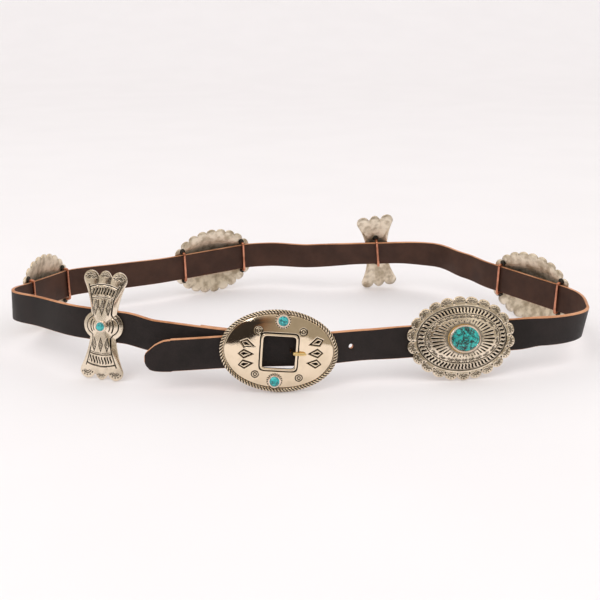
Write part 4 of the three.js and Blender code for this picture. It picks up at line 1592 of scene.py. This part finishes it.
@dataclass(frozen=True)
class Keeper:
    """A copper wire across the strap's inner face, soldered to the plate at both ends."""

    name: str
    x: float
    root: float
    radius: float = KEEPER_WIRE * 0.62
    blob: float = 2.7

    def path(self) -> Array:
        """The wire's middle line, from one foot to the other.

        Returns:
            The points, one row each.
        """
        side = STRAP_WIDTH / 2 + KEEPER_SLACK + KEEPER_WIRE / 2
        behind = -(GAP + STRAP_THICKNESS + KEEPER_SLACK + KEEPER_WIRE / 2)
        return staple(self.x, side, self.root, behind, KEEPER_WIRE * 0.7, (side / 2, -side / 2), 90)

    def build(self, placed: Matrix, finishes: Finishes) -> None:
        """Builds the wire and the solder at its feet.

        Args:
            placed: The ornament's frame.
            finishes: The belt's materials.
        """
        path = self.path()
        bent = wire(self.name, path, np.full(len(path), self.radius), (1, 0, 0))
        show(bent, placed, [finishes.copper])
        solder = bmesh.new()
        for way in (1, -1):
            spot = Vector((self.x, way * (STRAP_WIDTH / 2 + KEEPER_SLACK + KEEPER_WIRE), self.root - 0.8))
            ball = bmesh.ops.create_icosphere(solder, subdivisions=3, radius=self.blob)["verts"]
            for vert in ball:
                lump = 1 + 0.12 * math.sin(2.1 * vert.co.x + way) * math.cos(1.7 * vert.co.y) \
                    + 0.05 * math.sin(5.3 * vert.co.y + self.x)
                vert.co = Vector((vert.co.x * lump, vert.co.y * lump, vert.co.z * 0.62 * lump)) + spot
        bmesh.ops.scale(solder, vec=(MM, MM, MM), verts=solder.verts)
        show(mesh_of(f"{self.name}_solder", solder), placed, [finishes.solder])


@dataclass(frozen=True)
class OvalPlate:
    """The domed, scalloped oval plate with its stamped rings."""

    front_rows: int = 92
    back_rows: int = 12
    steps_per_lobe: int = 24
    relief: float = 0.42
    outer_line: float = 5.7
    inner_line: float = 11.6
    dashes: int = 60
    inner_arcs: int = 22
    petals: int = 44
    arc_inset: float = 3.6
    dot_inset: float = 3.0
    inner_arc_inset: float = 15.2
    sun_axes: tuple[float, float] = (12.6, 10.7)
    sun_inset: float = 16.6
    puff: float = 0.45
    rim_lip: float = 0.08

    def height_at(self, share: Array) -> Array:
        """Height of the plate's back at a share of its half size."""
        return OVAL.rise * dome_curve(share)

    def marks(self, share: Array, around: Array, point: Array, base: Array,
              normal: Array) -> tuple[Array, Array]:
        """The stamped pattern.

        Args:
            share: Share of the half size, 0 in the middle.
            around: Share of the way round.
            point: Point in the plate's plane.
            base: Point of the oval on the same ray.
            normal: Outward normal there.

        Returns:
            How deep each point is stamped, from 0 to 1, and how dark it is.
        """
        inset = (1 - share) * np.sum(base * normal, axis=1)
        lobe = np.floor(around * OVAL.lobes)
        lobe_base, lobe_normal = OVAL.around((lobe + 0.5) / OVAL.lobes)
        out, across = stamp_axes(point, lobe_base - lobe_normal * self.arc_inset, lobe_normal)
        arcs = rayed_arc(out, across, 2.7, 3, 1.3) * (inset < self.outer_line - 0.5)
        cusp = np.rint(around * OVAL.lobes)
        cusp_base, cusp_normal = OVAL.around(cusp / OVAL.lobes)
        near = np.linalg.norm(point - (cusp_base - cusp_normal * self.dot_inset), axis=1)
        dots = line(near, 0.0, 0.6)
        lines = np.maximum(line(inset, self.outer_line, 0.3), line(inset, self.inner_line, 0.26))
        lines = np.maximum(lines, 0.7 * line(inset, self.outer_line + 0.75, 0.14))
        across_band = (inset - self.outer_line - 0.9) / (self.inner_line - self.outer_line - 1.7)
        sway = around * self.dashes + 0.42 * (across_band - 0.5) + 0.16 * np.sin(TAU * across_band)
        dash = ramp(-np.abs((sway % 1) - 0.5), -0.3, -0.2)
        band = dash * ramp(across_band, 0.0, 0.08) * ramp(-across_band, -1.0, -0.92)
        ring = np.floor(around * self.inner_arcs)
        ring_base, ring_normal = OVAL.around((ring + 0.5) / self.inner_arcs)
        depth = np.sum(ring_base * ring_normal, axis=1)
        centre = ring_base * (1 - self.inner_arc_inset / depth)[:, None]
        out, across = stamp_axes(point, centre, ring_normal)
        inner = rayed_arc(out, across, 2.2, 3, 1.3) * (inset > self.inner_line + 0.4)
        reach = np.hypot(point[:, 0] / self.sun_axes[0], point[:, 1] / self.sun_axes[1])
        wide = 0.16 + 0.14 * ramp(reach, 1.1, 1.7)
        beat = np.abs((around * self.petals) % 1 - 0.5)
        long_ray = np.floor(around * self.petals) % 2
        start = 1.1 + 0.12 * long_ray
        stop = inset > self.sun_inset - 0.6 * long_ray
        rays = ramp(-beat, -wide, -wide * 0.6) * ramp(reach, start, start + 0.06) * stop
        deep = np.max([arcs, dots, lines, band, inner, rays], axis=0)
        # The field inside the inner line is marked a little darker, and more so in a ring round the bezel's
        # foot.
        inside = ramp(inset, self.inner_line, self.inner_line + 0.8)
        close = ramp(-reach, -1.3, -1.08)
        dark = np.maximum(deep, 0.2 * inside + 0.3 * close)
        dark = np.maximum(dark, 0.16 * (across_band > 0) * (across_band < 1))
        return deep, dark

    def mesh(self) -> bpy.types.Mesh:
        """The plate: stamped front, rounded rim and plain back.

        Returns:
            The plate's mesh.
        """
        front = np.concatenate([np.linspace(0, 0.3, 8), np.linspace(0.31, 1.0, self.front_rows - 8)])
        shares, sides, drop = plate_rows(front, self.back_rows, (0.08, 0.35, 0.95))

        def place(row: Array, turn: Array) -> tuple[Array, Array]:
            """A point of the plate.

            Args:
                row: Row of each vertex in the half section.
                turn: Its turn round the axis, in radians.

            Returns:
                The points in millimetres and their marks.
            """
            share, side, around = shares[row], sides[row], turn / TAU
            base, normal = OVAL.around(around)
            swell = np.sqrt(np.clip(1 - np.abs(2 * ((around * OVAL.lobes) % 1) - 1) ** 2, 0, 1))
            push = (OVAL.lobe_swell * swell - OVAL.cusp_depth) * ramp(share, 0.84, 1.0)
            push = push + self.rim_lip * (side == 0.5)
            flat = base * share[:, None] + normal * push[:, None]
            deep, dark = self.marks(share, around, flat, base, normal)
            height = self.height_at(share) + PLATE_WALL * (side > 0) - drop[row]
            puff = self.puff * swell * np.sin(np.pi * np.clip((share - 0.86) / 0.14, 0, 1))
            height = height + (puff - self.relief * deep) * (side == 1)
            # Darker in the notches between the lobes, near the rim.
            cusp = ramp(-swell, -0.35, -0.1) * ramp(share, 0.93, 1.0)
            tone = np.where(side == 1, np.maximum(dark, 0.5 * cusp), 0.12)
            return np.column_stack([flat, height]), tone

        plate = turned("oval_plate", len(shares), OVAL.lobes * self.steps_per_lobe, False, place)
        back_faces(plate)
        return plate


def show_plate(master: bpy.types.Mesh, name: str, placed: Matrix, finishes: Finishes) -> None:
    """Puts a copy of a plate in the scene as the ornament of a name.

    Args:
        master: The plate's mesh.
        name: Name of the ornament's node.
        placed: The ornament's frame.
        finishes: The belt's materials.
    """
    plate = master.copy()
    plate.name = f"{name}_plate"
    show(plate, placed, [finishes.stamped, finishes.matte], [name])


@dataclass
class OvalConcho:
    """A concho: the oval plate, a large stone in its bezel and two keepers."""

    number: int
    placed: Matrix
    finishes: Finishes
    plate: bpy.types.Mesh
    keeper_spacing: float = 63.0
    stone_width: float = 22.0
    stone_height: float = 18.2

    def build(self) -> None:
        """Builds the plate, its stone and its keepers."""
        name = f"concho_{self.number}"
        show_plate(self.plate, name, self.placed, self.finishes)
        floor = OVAL.rise + PLATE_WALL + 0.4
        cup = Cup(f"{name}_bezel", f"{name}_stone", f"concho_stone_{self.number}", self.stone_width,
                  self.stone_height, floor, rise=4.2, wall=1.3, skirt=2.0, lip=2.2, teeth=44, flange=0.7,
                  foot=floor - 1.1, grip=0.3, lip_share=0.95)
        cup.build(self.placed, [self.finishes.rim, self.finishes.gilt], self.finishes.webbed, "silver")
        a, b = OVAL.axes
        share = math.hypot(self.keeper_spacing / 2 / a, (STRAP_WIDTH / 2 + KEEPER_SLACK) / b)
        root = OVAL.rise * float(dome_curve(np.array(min(share, 1.0))))
        for side, letter in ((-1, "a"), (1, "b")):
            keeper = Keeper(f"{name}_keeper_{letter}", side * self.keeper_spacing / 2, root)
            keeper.build(self.placed, self.finishes)


def back_faces(mesh: bpy.types.Mesh) -> None:
    """Gives the faces that look backward the second material."""
    for face in mesh.polygons:
        face.material_index = 1 if face.normal.z < -0.35 else 0


@dataclass(frozen=True)
class WingPlate:
    """The butterfly's plate: two flared wings and a round bulge, with stamped lines."""

    front_rows: int = 96
    back_rows: int = 8
    steps: int = 440
    relief: float = 0.4
    frame_inset: float = 3.4
    outer_arch: float = 31.4
    inner_arch: float = 22.2
    bow: float = 0.018
    dash_pitch: float = 2.35
    kite_pitch: float = 5.2
    kite_size: tuple[float, float] = (1.7, 5.4)
    kite_middle: float = 14.2
    crescents: tuple[float, float] = (9.2, 6.9)
    inside: float = 0.993

    def marks(self, point: Array) -> tuple[Array, Array]:
        """How deep each point of the plate is stamped, and how dark it is.

        Args:
            point: Points in the plate's plane, in millimetres.

        Returns:
            The depths and the tones.
        """
        x, y = point.T
        high = np.abs(y)
        rim = WING.around(np.linspace(0, 1, 420, endpoint=False))
        gap = np.min(np.linalg.norm(point[:, None, :] - rim[None, :, :], axis=2), axis=1)
        bulge = np.hypot(x, y)
        framed = ramp(-high, -self.outer_arch - 0.2, -self.outer_arch + 0.2)
        frame_line = line(gap, self.frame_inset, 0.34) * framed
        arch = high + self.bow * (x * x)
        within = gap > self.frame_inset - 0.4
        arches = np.max([line(arch, self.outer_arch, 0.36), line(arch, self.inner_arch, 0.26),
                         line(arch, self.inner_arch - 1.3, 0.16)], axis=0) * within
        across = (arch - self.inner_arch - 1.0) / (self.outer_arch - self.inner_arch - 2.2)
        sway = x / self.dash_pitch + 0.22 * np.sin(TAU * across)
        dash = ramp(-np.abs((sway % 1) - 0.5), -0.3, -0.18)
        band = dash * ramp(across, 0.08, 0.16) * ramp(-across, -0.92, -0.84) * (gap > self.frame_inset + 0.9)
        column = np.abs((x / self.kite_pitch + 0.5) % 1 - 0.5) * self.kite_pitch
        tall = np.abs(high - self.kite_middle) / self.kite_size[1]
        kite = column / self.kite_size[0] + tall
        hatch = ramp(np.sin((high + 0.8 * x) * 5.2), 0.0, 0.6)
        lozenge = np.maximum(line(kite, 1.0, 0.12), hatch * (kite < 0.85)) * (np.abs(x) < 7.6) * (high < 20.0)
        crescents = np.maximum(line(bulge, self.crescents[0], 0.42), line(bulge, self.crescents[1], 0.3))
        crescents *= ramp(-np.abs(np.arctan2(y, np.abs(x))), -0.62, -0.5) * (gap > 1.0)
        lobes = np.zeros(len(x))
        half_width, half_height = WING.width / 2, WING.height / 2
        corner = WING.corner[0] * half_width
        for spot_x, size in ((-corner, 3.2), (0.0, 2.3), (corner, 3.2)):
            spot_y = (WING.corner[1] if spot_x else WING.middle[1]) * half_height - 1.4
            lobes = np.maximum(lobes, rayed_arc(high - spot_y, x - spot_x, size, 3, 1.25))
        lobes *= gap > 0.7
        deep = np.max([frame_line, arches, band, lozenge, crescents, lobes], axis=0)
        dark = np.maximum(deep, 0.22 * (gap < 2.6) * (high < 30) * ramp(gap, 1.2, 2.0))
        return deep, dark

    def mesh(self) -> bpy.types.Mesh:
        """The plate: stamped front, rounded rim and plain back.

        Returns:
            The plate's mesh.
        """
        front = np.linspace(0, 1.0, self.front_rows)
        shares, sides, drop = plate_rows(front, self.back_rows, (0.1, 0.4, 0.95))
        dome = dome_curve(shares)

        def place(row: Array, turn: Array) -> tuple[Array, Array]:
            """A point of the plate.

            Args:
                row: Row of each vertex in the half section.
                turn: Its turn round the axis, in radians.

            Returns:
                The points in millimetres and their marks.
            """
            flat = WING.around(turn / TAU) * (shares[row] * self.inside)[:, None]
            side = sides[row]
            deep, dark = self.marks(flat)
            height = WING.rise * dome[row] + PLATE_WALL * (side > 0) - drop[row]
            height = height - self.relief * deep * (side == 1)
            return np.column_stack([flat, height]), np.where(side == 1, dark, 0.12)

        plate = turned("wing_plate", len(shares), self.steps, False, place)
        back_faces(plate)
        return plate


@dataclass
class Butterfly:
    """A spacer: the butterfly's plate, a small stone in its bezel and one keeper."""

    number: int
    placed: Matrix
    finishes: Finishes
    plate: bpy.types.Mesh
    stone_width: float = 6.6

    def build(self) -> None:
        """Builds the plate, its stone and its keeper."""
        name = f"butterfly_{self.number}"
        show_plate(self.plate, name, self.placed, self.finishes)
        floor = WING.rise + PLATE_WALL + 0.28
        cup = Cup(f"{name}_bezel", f"{name}_stone", f"butterfly_stone_{self.number}", self.stone_width,
                  self.stone_width, floor, rise=3.0, wall=1.0, skirt=1.4, lip=1.5, teeth=18, grip=0.45,
                  lip_share=0.85)
        cup.build(self.placed, [self.finishes.rim, self.finishes.stamped], self.finishes.clear, "silver")
        share = (STRAP_WIDTH / 2 + KEEPER_SLACK) / (WING.height / 2)
        root = WING.rise * float(dome_curve(np.array(share)))
        Keeper(f"{name}_keeper", 0.0, root).build(self.placed, self.finishes)


@dataclass(frozen=True)
class KiteStamp:
    """A kite mark on the buckle: its place and the way that its long point looks, in degrees."""

    x: float
    y: float
    turn: float
    length: float = 10.6
    height: float = 6.6
    shoulder: float = 0.36

    def mark(self, x: Array, y: Array) -> Array:
        """Depth of the mark at points of the plate.

        Args:
            x: Places along the plate.
            y: Places up the plate.

        Returns:
            The depths from 0 to 1.
        """
        way = math.radians(self.turn)
        along = (x - self.x) * math.cos(way) + (y - self.y) * math.sin(way)
        across = (y - self.y) * math.cos(way) - (x - self.x) * math.sin(way)
        along = along + self.length * (0.5 - self.shoulder)
        tip, heel = self.length * (1 - self.shoulder), self.length * self.shoulder
        reach = np.where(along > 0, along / tip, -along / heel)
        outline = line(reach + np.abs(across) / (self.height / 2), 0.93, 0.135)
        return np.maximum(outline, ramp(-(reach + np.abs(across) / (self.height * 0.3)), -0.62, -0.5))


@dataclass
class Buckle:
    """The oval buckle: domed plate with a square window, rope border and small stones."""

    placed: Matrix
    route: StrapRoute
    finishes: Finishes
    window: float = 24.4
    frame_width: float = 1.6
    frame_depth: float = 2.4
    steps: int = 480
    front_rows: int = 66
    back_rows: int = 8
    rope_turns: int = 32
    rope_strands: int = 3
    relief: float = 0.32
    stone_width: float = 7.4
    bezel_wall: float = 1.0
    prong_thickness: float = 2.0
    stone_spots: tuple[tuple[str, float, float], ...] = (("top", 1.6, 23.6), ("bottom", -1.9, -22.0))
    rings: tuple[tuple[float, float], ...] = ((-15.9, 15.3), (16.9, 15.9), (-16.6, -17.6), (15.9, -18.9))
    kites: tuple[KiteStamp, ...] = (
        KiteStamp(-23.3, 4.9, -15.5), KiteStamp(-24.3, -2.4, 2.5), KiteStamp(-24.0, -10.2, 12.5),
        KiteStamp(27.0, 8.6, 199.5), KiteStamp(27.0, 0.4, 184.5), KiteStamp(26.4, -7.4, 175.5))

    def square(self, turn: Array, half: float, corner: float) -> Array:
        """Points of a square with rounded corners, on rays at given turns.

        Args:
            turn: Turns of the rays.
            half: Half the side.
            corner: How round the corners are, from 0 to 1.

        Returns:
            The points, one row each.
        """
        power = 2 + 10 * (1 - corner)
        x, y = np.cos(turn), np.sin(turn)
        reach = half / (np.abs(x) ** power + np.abs(y) ** power) ** (1 / power)
        return np.column_stack([x, y]) * reach[:, None]

    def height_at(self, share: Array) -> Array:
        """Height of the plate's back at a share of the way from window to rim."""
        return BUCKLE.rise * np.interp(share, np.linspace(0, 1, 41), self.dome())

    def front_height(self, flat: Array) -> Array:
        """Height of the plate's front at points of its plane.

        Args:
            flat: The points, one row each.

        Returns:
            The heights.
        """
        square = self.window / 2 / np.maximum(np.max(np.abs(flat), axis=1), 1e-6)
        rim = 1 / np.hypot(flat[:, 0] / BUCKLE.axes[0], flat[:, 1] / BUCKLE.axes[1])
        return self.height_at(np.clip((1 - square) / (rim - square), 0, 1)) + PLATE_WALL

    def dome(self) -> Array:
        """The dome's rise at even shares of the way from window to rim."""
        share = np.linspace(0, 1, 41)
        return 1 - 0.36 * share - 0.4 * share ** 2 - 0.24 * share ** 3

    def plate(self) -> bpy.types.Mesh:
        """The plate: stamped and polished front, plain back, open at the window.

        Returns:
            The plate's mesh.
        """
        shares = np.concatenate([np.linspace(0, 1, self.front_rows), np.linspace(1, 0, self.back_rows)])
        is_front = np.concatenate([np.ones(self.front_rows), np.zeros(self.back_rows)])
        a, b = BUCKLE.axes

        def place(row: Array, turn: Array) -> tuple[Array, Array]:
            """A point of the plate.

            Args:
                row: Row of each vertex in the half section.
                turn: Its turn round the axis, in radians.

            Returns:
                The points in millimetres and their marks.
            """
            share, side = shares[row], is_front[row]
            rim = np.column_stack([a * np.cos(turn), b * np.sin(turn)])
            flat = self.square(turn, self.window / 2, 0.0) * (1 - share)[:, None] + rim * share[:, None]
            x, y = flat.T
            deep = np.max([kite.mark(x, y) for kite in self.kites], axis=0)
            for ring_x, ring_y in self.rings:
                reach = np.hypot(x - ring_x, y - ring_y)
                deep = np.max([deep, line(reach, 2.6, 0.34), line(reach, 1.15, 0.34)], axis=0)
            border = (1 - share) * np.linalg.norm(rim, axis=1)
            soft_square = np.sum(np.abs(flat) ** 9, axis=1) ** (1 / 9)
            # The line 2.9 in from the rope is a stamped line; the one just outside the window frame is a
            # shallow groove blackened as painted shade at the frame's foot.
            edge = np.maximum(line(border, 2.9, 0.3), line(soft_square, 14.2, 0.36))
            deep = np.maximum(deep, edge)
            height = self.height_at(share) + PLATE_WALL * side - self.relief * deep * side
            return np.column_stack([flat, height]), deep * side

        return turned("buckle_plate", len(shares), self.steps, True, place)

    def rope(self) -> bpy.types.Mesh:
        """The rope border: strands twisted together along the rim.

        Returns:
            The rope's mesh.
        """
        around = 16
        ridges = self.rope_turns * self.rope_strands

        def place(row: Array, turn: Array) -> tuple[Array, Array]:
            """A point of the rope.

            Args:
                row: Row of each vertex in the half section.
                turn: Its turn round the axis, in radians.

            Returns:
                The points in millimetres and their marks.
            """
            spot, normal = even_oval(BUCKLE.axes, turn / TAU)
            section = row / around * TAU
            twist = np.abs(np.sin((self.rope_strands * section + turn * ridges) / 2))
            radius = BUCKLE.rope / 2 * (0.6 + 0.32 * twist ** 0.7)
            flat = spot + normal * (radius * np.cos(section))[:, None]
            height = BUCKLE.rope / 2 + radius * np.sin(section)
            return np.column_stack([flat, height]), 1 - ramp(twist, 0.52, 0.78)

        return turned("buckle_rope", around, ridges * 10, True, place)

    def window_frame(self) -> bpy.types.Mesh:
        """The raised square frame round the window, with painted shade on its side walls.

        Returns:
            The frame's mesh.
        """
        inner, outer = self.window / 2 - GAP, self.window / 2 + self.frame_width
        low, high = BUCKLE.rise, BUCKLE.rise + self.frame_depth
        radius = (outer - inner) / 2
        bend = np.linspace(0, math.pi, 9)
        bead = np.column_stack([(inner + outer) / 2 - radius * np.cos(bend),
                                high - radius + radius * np.sin(bend)])
        profile = np.vstack([[(inner, low)], bead, [(outer, low)]])

        def place(row: Array, turn: Array) -> tuple[Array, Array]:
            """A point of the frame.

            Args:
                row: Row of each vertex in the half section.
                turn: Its turn round the axis, in radians.

            Returns:
                The points in millimetres and their marks.
            """
            half, height = profile[row].T
            corner = np.clip((half - inner) / (outer - inner), 0, 1)
            flat = np.vstack([self.square(np.array([t]), h, 0.35 * c) for t, h, c in zip(turn, half, corner)])
            # Both side walls of the frame are marked fully dark: painted shade either side of the bead.
            return np.column_stack([flat, height]), ((row >= len(profile) - 3) | (row <= 1)) * 1.0

        return turned("buckle_window_frame", len(profile), 160, True, place)

    def bar(self) -> bpy.types.Mesh:
        """The heavy staple behind the plate that holds the strap's fold.

        Returns:
            The bar's mesh.
        """
        route = self.route
        side = STRAP_WIDTH / 2 + 2.2 + route.bar_diameter / 2
        share = (side - self.window / 2) / (BUCKLE.axes[1] - self.window / 2)
        root = float(self.height_at(np.array(share))) + PLATE_WALL / 2
        radius = route.bar_diameter / 2
        path = staple(route.bar_offset, side, root, route.bar_depth, radius, (0.0,), 80)
        return wire("buckle_bar", path, np.full(len(path), radius), (1, 0, 0), 20)

    def prong(self) -> tuple[bpy.types.Mesh, bpy.types.Mesh]:
        """The tapered prong and its eye round the bar.

        Returns:
            The two meshes.
        """
        route = self.route
        thick = self.prong_thickness
        eye = route.bar_diameter / 2 + GAP + thick / 2
        rest = BUCKLE.rise + self.frame_depth + GAP + thick / 2 - 0.4
        edge = self.window / 2
        middle = -(GAP + STRAP_THICKNESS / 2)
        hole = PRONG_HOLE
        low = route.bar_depth + eye
        points = [
            (route.bar_offset, 0, low), ((route.bar_offset + hole) / 2, 0, low),
            (hole - 3 * thick / 2, 0, low + GAP), (hole, 0, middle),
            (hole + thick / 2, 0, (middle + rest) / 2), (edge - thick / 2, 0, rest - GAP),
            (edge + thick, 0, rest), (edge + self.frame_width + 6.3, 0, rest)]
        path = smooth_path(points, 110)
        share = np.linspace(0, 1, 110)
        radii = thick / 2 * (1.0 + 0.35 * ramp(share, 0.5, 0.7)) * (1 - 0.25 * ramp(share, 0.86, 1.0))
        radii[-4:] *= np.array([0.95, 0.85, 0.65, 0.3])

        def place(row: Array, turn: Array) -> tuple[Array, Array]:
            """A point of the eye.

            Args:
                row: Row of each vertex in the half section.
                turn: Its turn round the axis, in radians.

            Returns:
                The points in millimetres and their marks.
            """
            section = row / 12 * TAU
            radius = eye + thick / 2 * np.cos(section)
            across = thick / 2 * np.sin(section)
            return np.column_stack([radius * np.cos(turn) + route.bar_offset, across,
                                    radius * np.sin(turn) + route.bar_depth]), np.zeros(len(row))

        return wire("prong_tongue", path, radii, (0, 1, 0), 18), turned("prong_eye", 12, 48, True, place)

    def cups(self) -> list[Cup]:
        """The two small bezels on the plate's slopes.

        Returns:
            The bezels with their stones.
        """
        made = []
        half, wall = self.stone_width / 2 + GAP, self.bezel_wall
        for place, x, y in self.stone_spots:
            span = BUCKLE.axes[1] - self.window / 2
            knots, rises = (0.0, 0.5, 1.0), (1.0, 0.72, 0.0)
            near, far = [(abs(y) + way - self.window / 2) / span for way in (-half, half + wall)]
            floor = BUCKLE.rise * float(np.interp(near, knots, rises)) + PLATE_WALL + GAP
            foot = BUCKLE.rise * float(np.interp(far, knots, rises)) + PLATE_WALL / 2
            made.append(Cup(f"buckle_bezel_{place}", f"buckle_cabochon_{place}", f"buckle_stone_{place}",
                            self.stone_width, self.stone_width, floor, rise=3.4, wall=wall, skirt=1.4,
                            lip=1.5, teeth=20, spot=(x, y), flange=1.2, foot=foot, grip=0.6,
                            lip_share=0.85, ground=self.front_height))
        return made

    def build(self) -> None:
        """Builds the buckle, its stones and its prong."""
        look, silver = self.finishes, "polished_silver"
        plate = self.plate()
        back_faces(plate)
        show(plate, self.placed, [look.polished, look.matte], ["buckle"])
        for mesh, finish in ((self.rope(), look.polished), (self.window_frame(), look.polished),
                             (self.bar(), look.matte)):
            show(mesh, self.placed, [finish])
        for cup in self.cups():
            cup.build(self.placed, [look.rim, look.stamped], look.clear, silver)
        tongue, eye = self.prong()
        show(tongue, self.placed, [look.brass], ["buckle_prong"])
        show(eye, self.placed, [look.brass])


@dataclass
class Rivet:
    """The plain rivet through the folded end."""

    route: StrapRoute
    finishes: Finishes
    setback: float = 33.0
    cap: float = 4.5
    cap_height: float = 1.2
    shaft: float = 1.8

    def build(self) -> None:
        """Builds the rivet with two low domed caps."""
        outer, inner = STRAP_THICKNESS / 2 + GAP, -(STRAP_THICKNESS * 1.5 + 2 * GAP)
        bend = np.linspace(0, math.pi / 2, 8)
        top = np.column_stack([self.cap * np.sin(bend), outer + self.cap_height * np.cos(bend) ** 0.6])
        low = np.column_stack([self.cap * np.cos(bend), inner - self.cap_height * np.sin(bend) ** 0.6])
        low[-1, 0] = 0.0
        profile = np.vstack([top, [(self.shaft, outer), (self.shaft, inner)], low])

        def place(row: Array, turn: Array) -> tuple[Array, Array]:
            """A point of the rivet.

            Args:
                row: Row of each vertex in the half section.
                turn: Its turn round the axis, in radians.

            Returns:
                The points in millimetres and their marks.
            """
            radius, height = profile[row].T
            return np.column_stack([radius * np.cos(turn), radius * np.sin(turn), height]), np.zeros(len(row))

        sample = self.route.sample_at(self.route.samples[-1].length - self.setback)
        mesh = turned("rivet_caps", len(profile), 40, False, place)
        show(mesh, in_metres(sample.frame()), [self.finishes.brass], ["fold_rivet"])


@dataclass
class Studio:
    """The pale sweep, the soft lights, the surroundings and the camera."""

    floor_half: float = 6.0
    sweep: float = 3.5
    lens: float = 60.048
    camera_place: tuple[float, float, float] = (0.000263, -0.837271, 0.2736)
    camera_pitch: float = 16.26
    lamps: tuple[tuple[str, tuple[float, float, float], float, float], ...] = (
        ("key", (-1.6, -1.6, 2.7), 1.5, 12.0), ("glint", (-0.5, -1.3, 1.3), 0.3, 1.2),
        ("fill", (2.0, -0.9, 1.6), 1.6, 4.0))

    def floor(self) -> None:
        """Lays the floor."""
        bm = bmesh.new()
        bmesh.ops.create_grid(bm, x_segments=2, y_segments=2, size=self.floor_half)
        back = [edge for edge in bm.edges if all(vert.co.y > self.floor_half - 0.01 for vert in edge.verts)]
        raised = bmesh.ops.extrude_edge_only(bm, edges=back)["geom"]
        bmesh.ops.translate(bm, vec=(0, 0, self.floor_half), verts=[v for v in raised if hasattr(v, "co")])
        bmesh.ops.bevel(bm, geom=back, offset=self.sweep, offset_type="OFFSET", segments=32, profile=0.5,
                        affect="EDGES", material=-1)
        mesh = mesh_of("floor", bm)
        mesh.materials.append(PaleFloor().material())
        linked("floor", mesh)

    def light(self, name: str, place: Vector, size: float, watts: float) -> None:
        """Hangs a soft square light that looks at the belt.

        Args:
            name: Name of the light.
            place: Where it hangs.
            size: Length of its sides.
            watts: Its power.
        """
        lamp = bpy.data.lights.new(name, "AREA")
        lamp.shape = "SQUARE"
        lamp.size = size
        lamp.energy = watts
        hung = linked(name, lamp)
        hung.location = place
        hung.rotation_euler = (-place).to_track_quat("-Z", "Y").to_euler()

    def surroundings(self) -> None:
        """Gives pale light all round, and a darker room to what the metal mirrors."""
        world = bpy.data.worlds.new("studio")
        world.use_nodes = True
        bpy.context.scene.world = world
        tree = world.node_tree
        tree.nodes.clear()
        way = add_node(tree, "ShaderNodeTexCoord").outputs["Generated"]
        parts = add_node(tree, "ShaderNodeSeparateXYZ", in0=way)
        mottle = noise(tree, way, 2.6, 3.0).outputs["Fac"]
        patch = spread(tree, mottle, 0.5, 0.64)
        dark = blend(tree, patch, tint("37322f"), tint("80593c"))
        side = maths(tree, "ADD", parts.outputs[0], maths(tree, "MULTIPLY", mottle, 0.35))
        room = blend(tree, spread(tree, side, 0.12, 0.42), dark, tint("a8a092"))
        window = spread(tree, parts.outputs[0], -0.66, -0.54, 0.8, 0.0)
        lit = blend(tree, window, room, tint("e4dfd6"))
        lifted = blend(tree, spread(tree, parts.outputs[2], 0.6, 0.85), lit, tint("fbf3ea"))
        ahead = spread(tree, parts.outputs[1], -0.15, 0.35)
        mirrored = blend(tree, ahead, lifted, tint("e9dccb"))
        path = add_node(tree, "ShaderNodeLightPath")
        glossy = add_node(tree, "ShaderNodeBackground", Color=mirrored, Strength=1.0)
        pale = add_node(tree, "ShaderNodeBackground", Color=tint("fbf9f9"), Strength=1.01)
        mixed = add_node(tree, "ShaderNodeMixShader", in0=path.outputs["Is Glossy Ray"], in1=pale.outputs[0],
                         in2=glossy.outputs[0])
        out = add_node(tree, "ShaderNodeOutputWorld")
        tree.links.new(mixed.outputs[0], out.inputs["Surface"])

    def camera(self) -> None:
        """Sets the camera at the photograph's angle."""
        data = bpy.data.cameras.new("camera")
        data.lens = self.lens
        data.sensor_width = 36.0
        camera = linked("camera", data)
        camera.location = self.camera_place
        camera.rotation_euler = (math.radians(90 - self.camera_pitch), 0, 0)
        bpy.context.scene.camera = camera

    def build(self) -> None:
        """Sets everything up round the belt."""
        self.camera()
        self.floor()
        self.surroundings()
        for name, place, size, watts in self.lamps:
            self.light(name, Vector(place), size, watts)
        bpy.context.scene.view_settings.view_transform = "Standard"


def main() -> None:
    """Builds the belt piece by piece."""
    logging.basicConfig(level=logging.INFO, format="%(name)s %(message)s")
    Studio().build()
    finishes = Finishes.made()
    route = StrapRoute()
    route.build()
    Strap(route, finishes).build()
    oval, wing = OvalPlate().mesh(), WingPlate().mesh()
    for station in ROUTE:
        if station.kind is Kind.BARE:
            continue
        placed = in_metres(route.frame_of(station))
        if station.kind is Kind.BUCKLE:
            Buckle(placed, route, finishes).build()
        elif station.kind is Kind.OVAL:
            OvalConcho(int(station.at[-1]), placed, finishes, oval).build()
        else:
            Butterfly(int(station.at[-1]), placed, finishes, wing).build()
    Rivet(route, finishes).build()
    bpy.data.meshes.remove(oval)
    bpy.data.meshes.remove(wing)


if __name__ == "__main__":
    main()
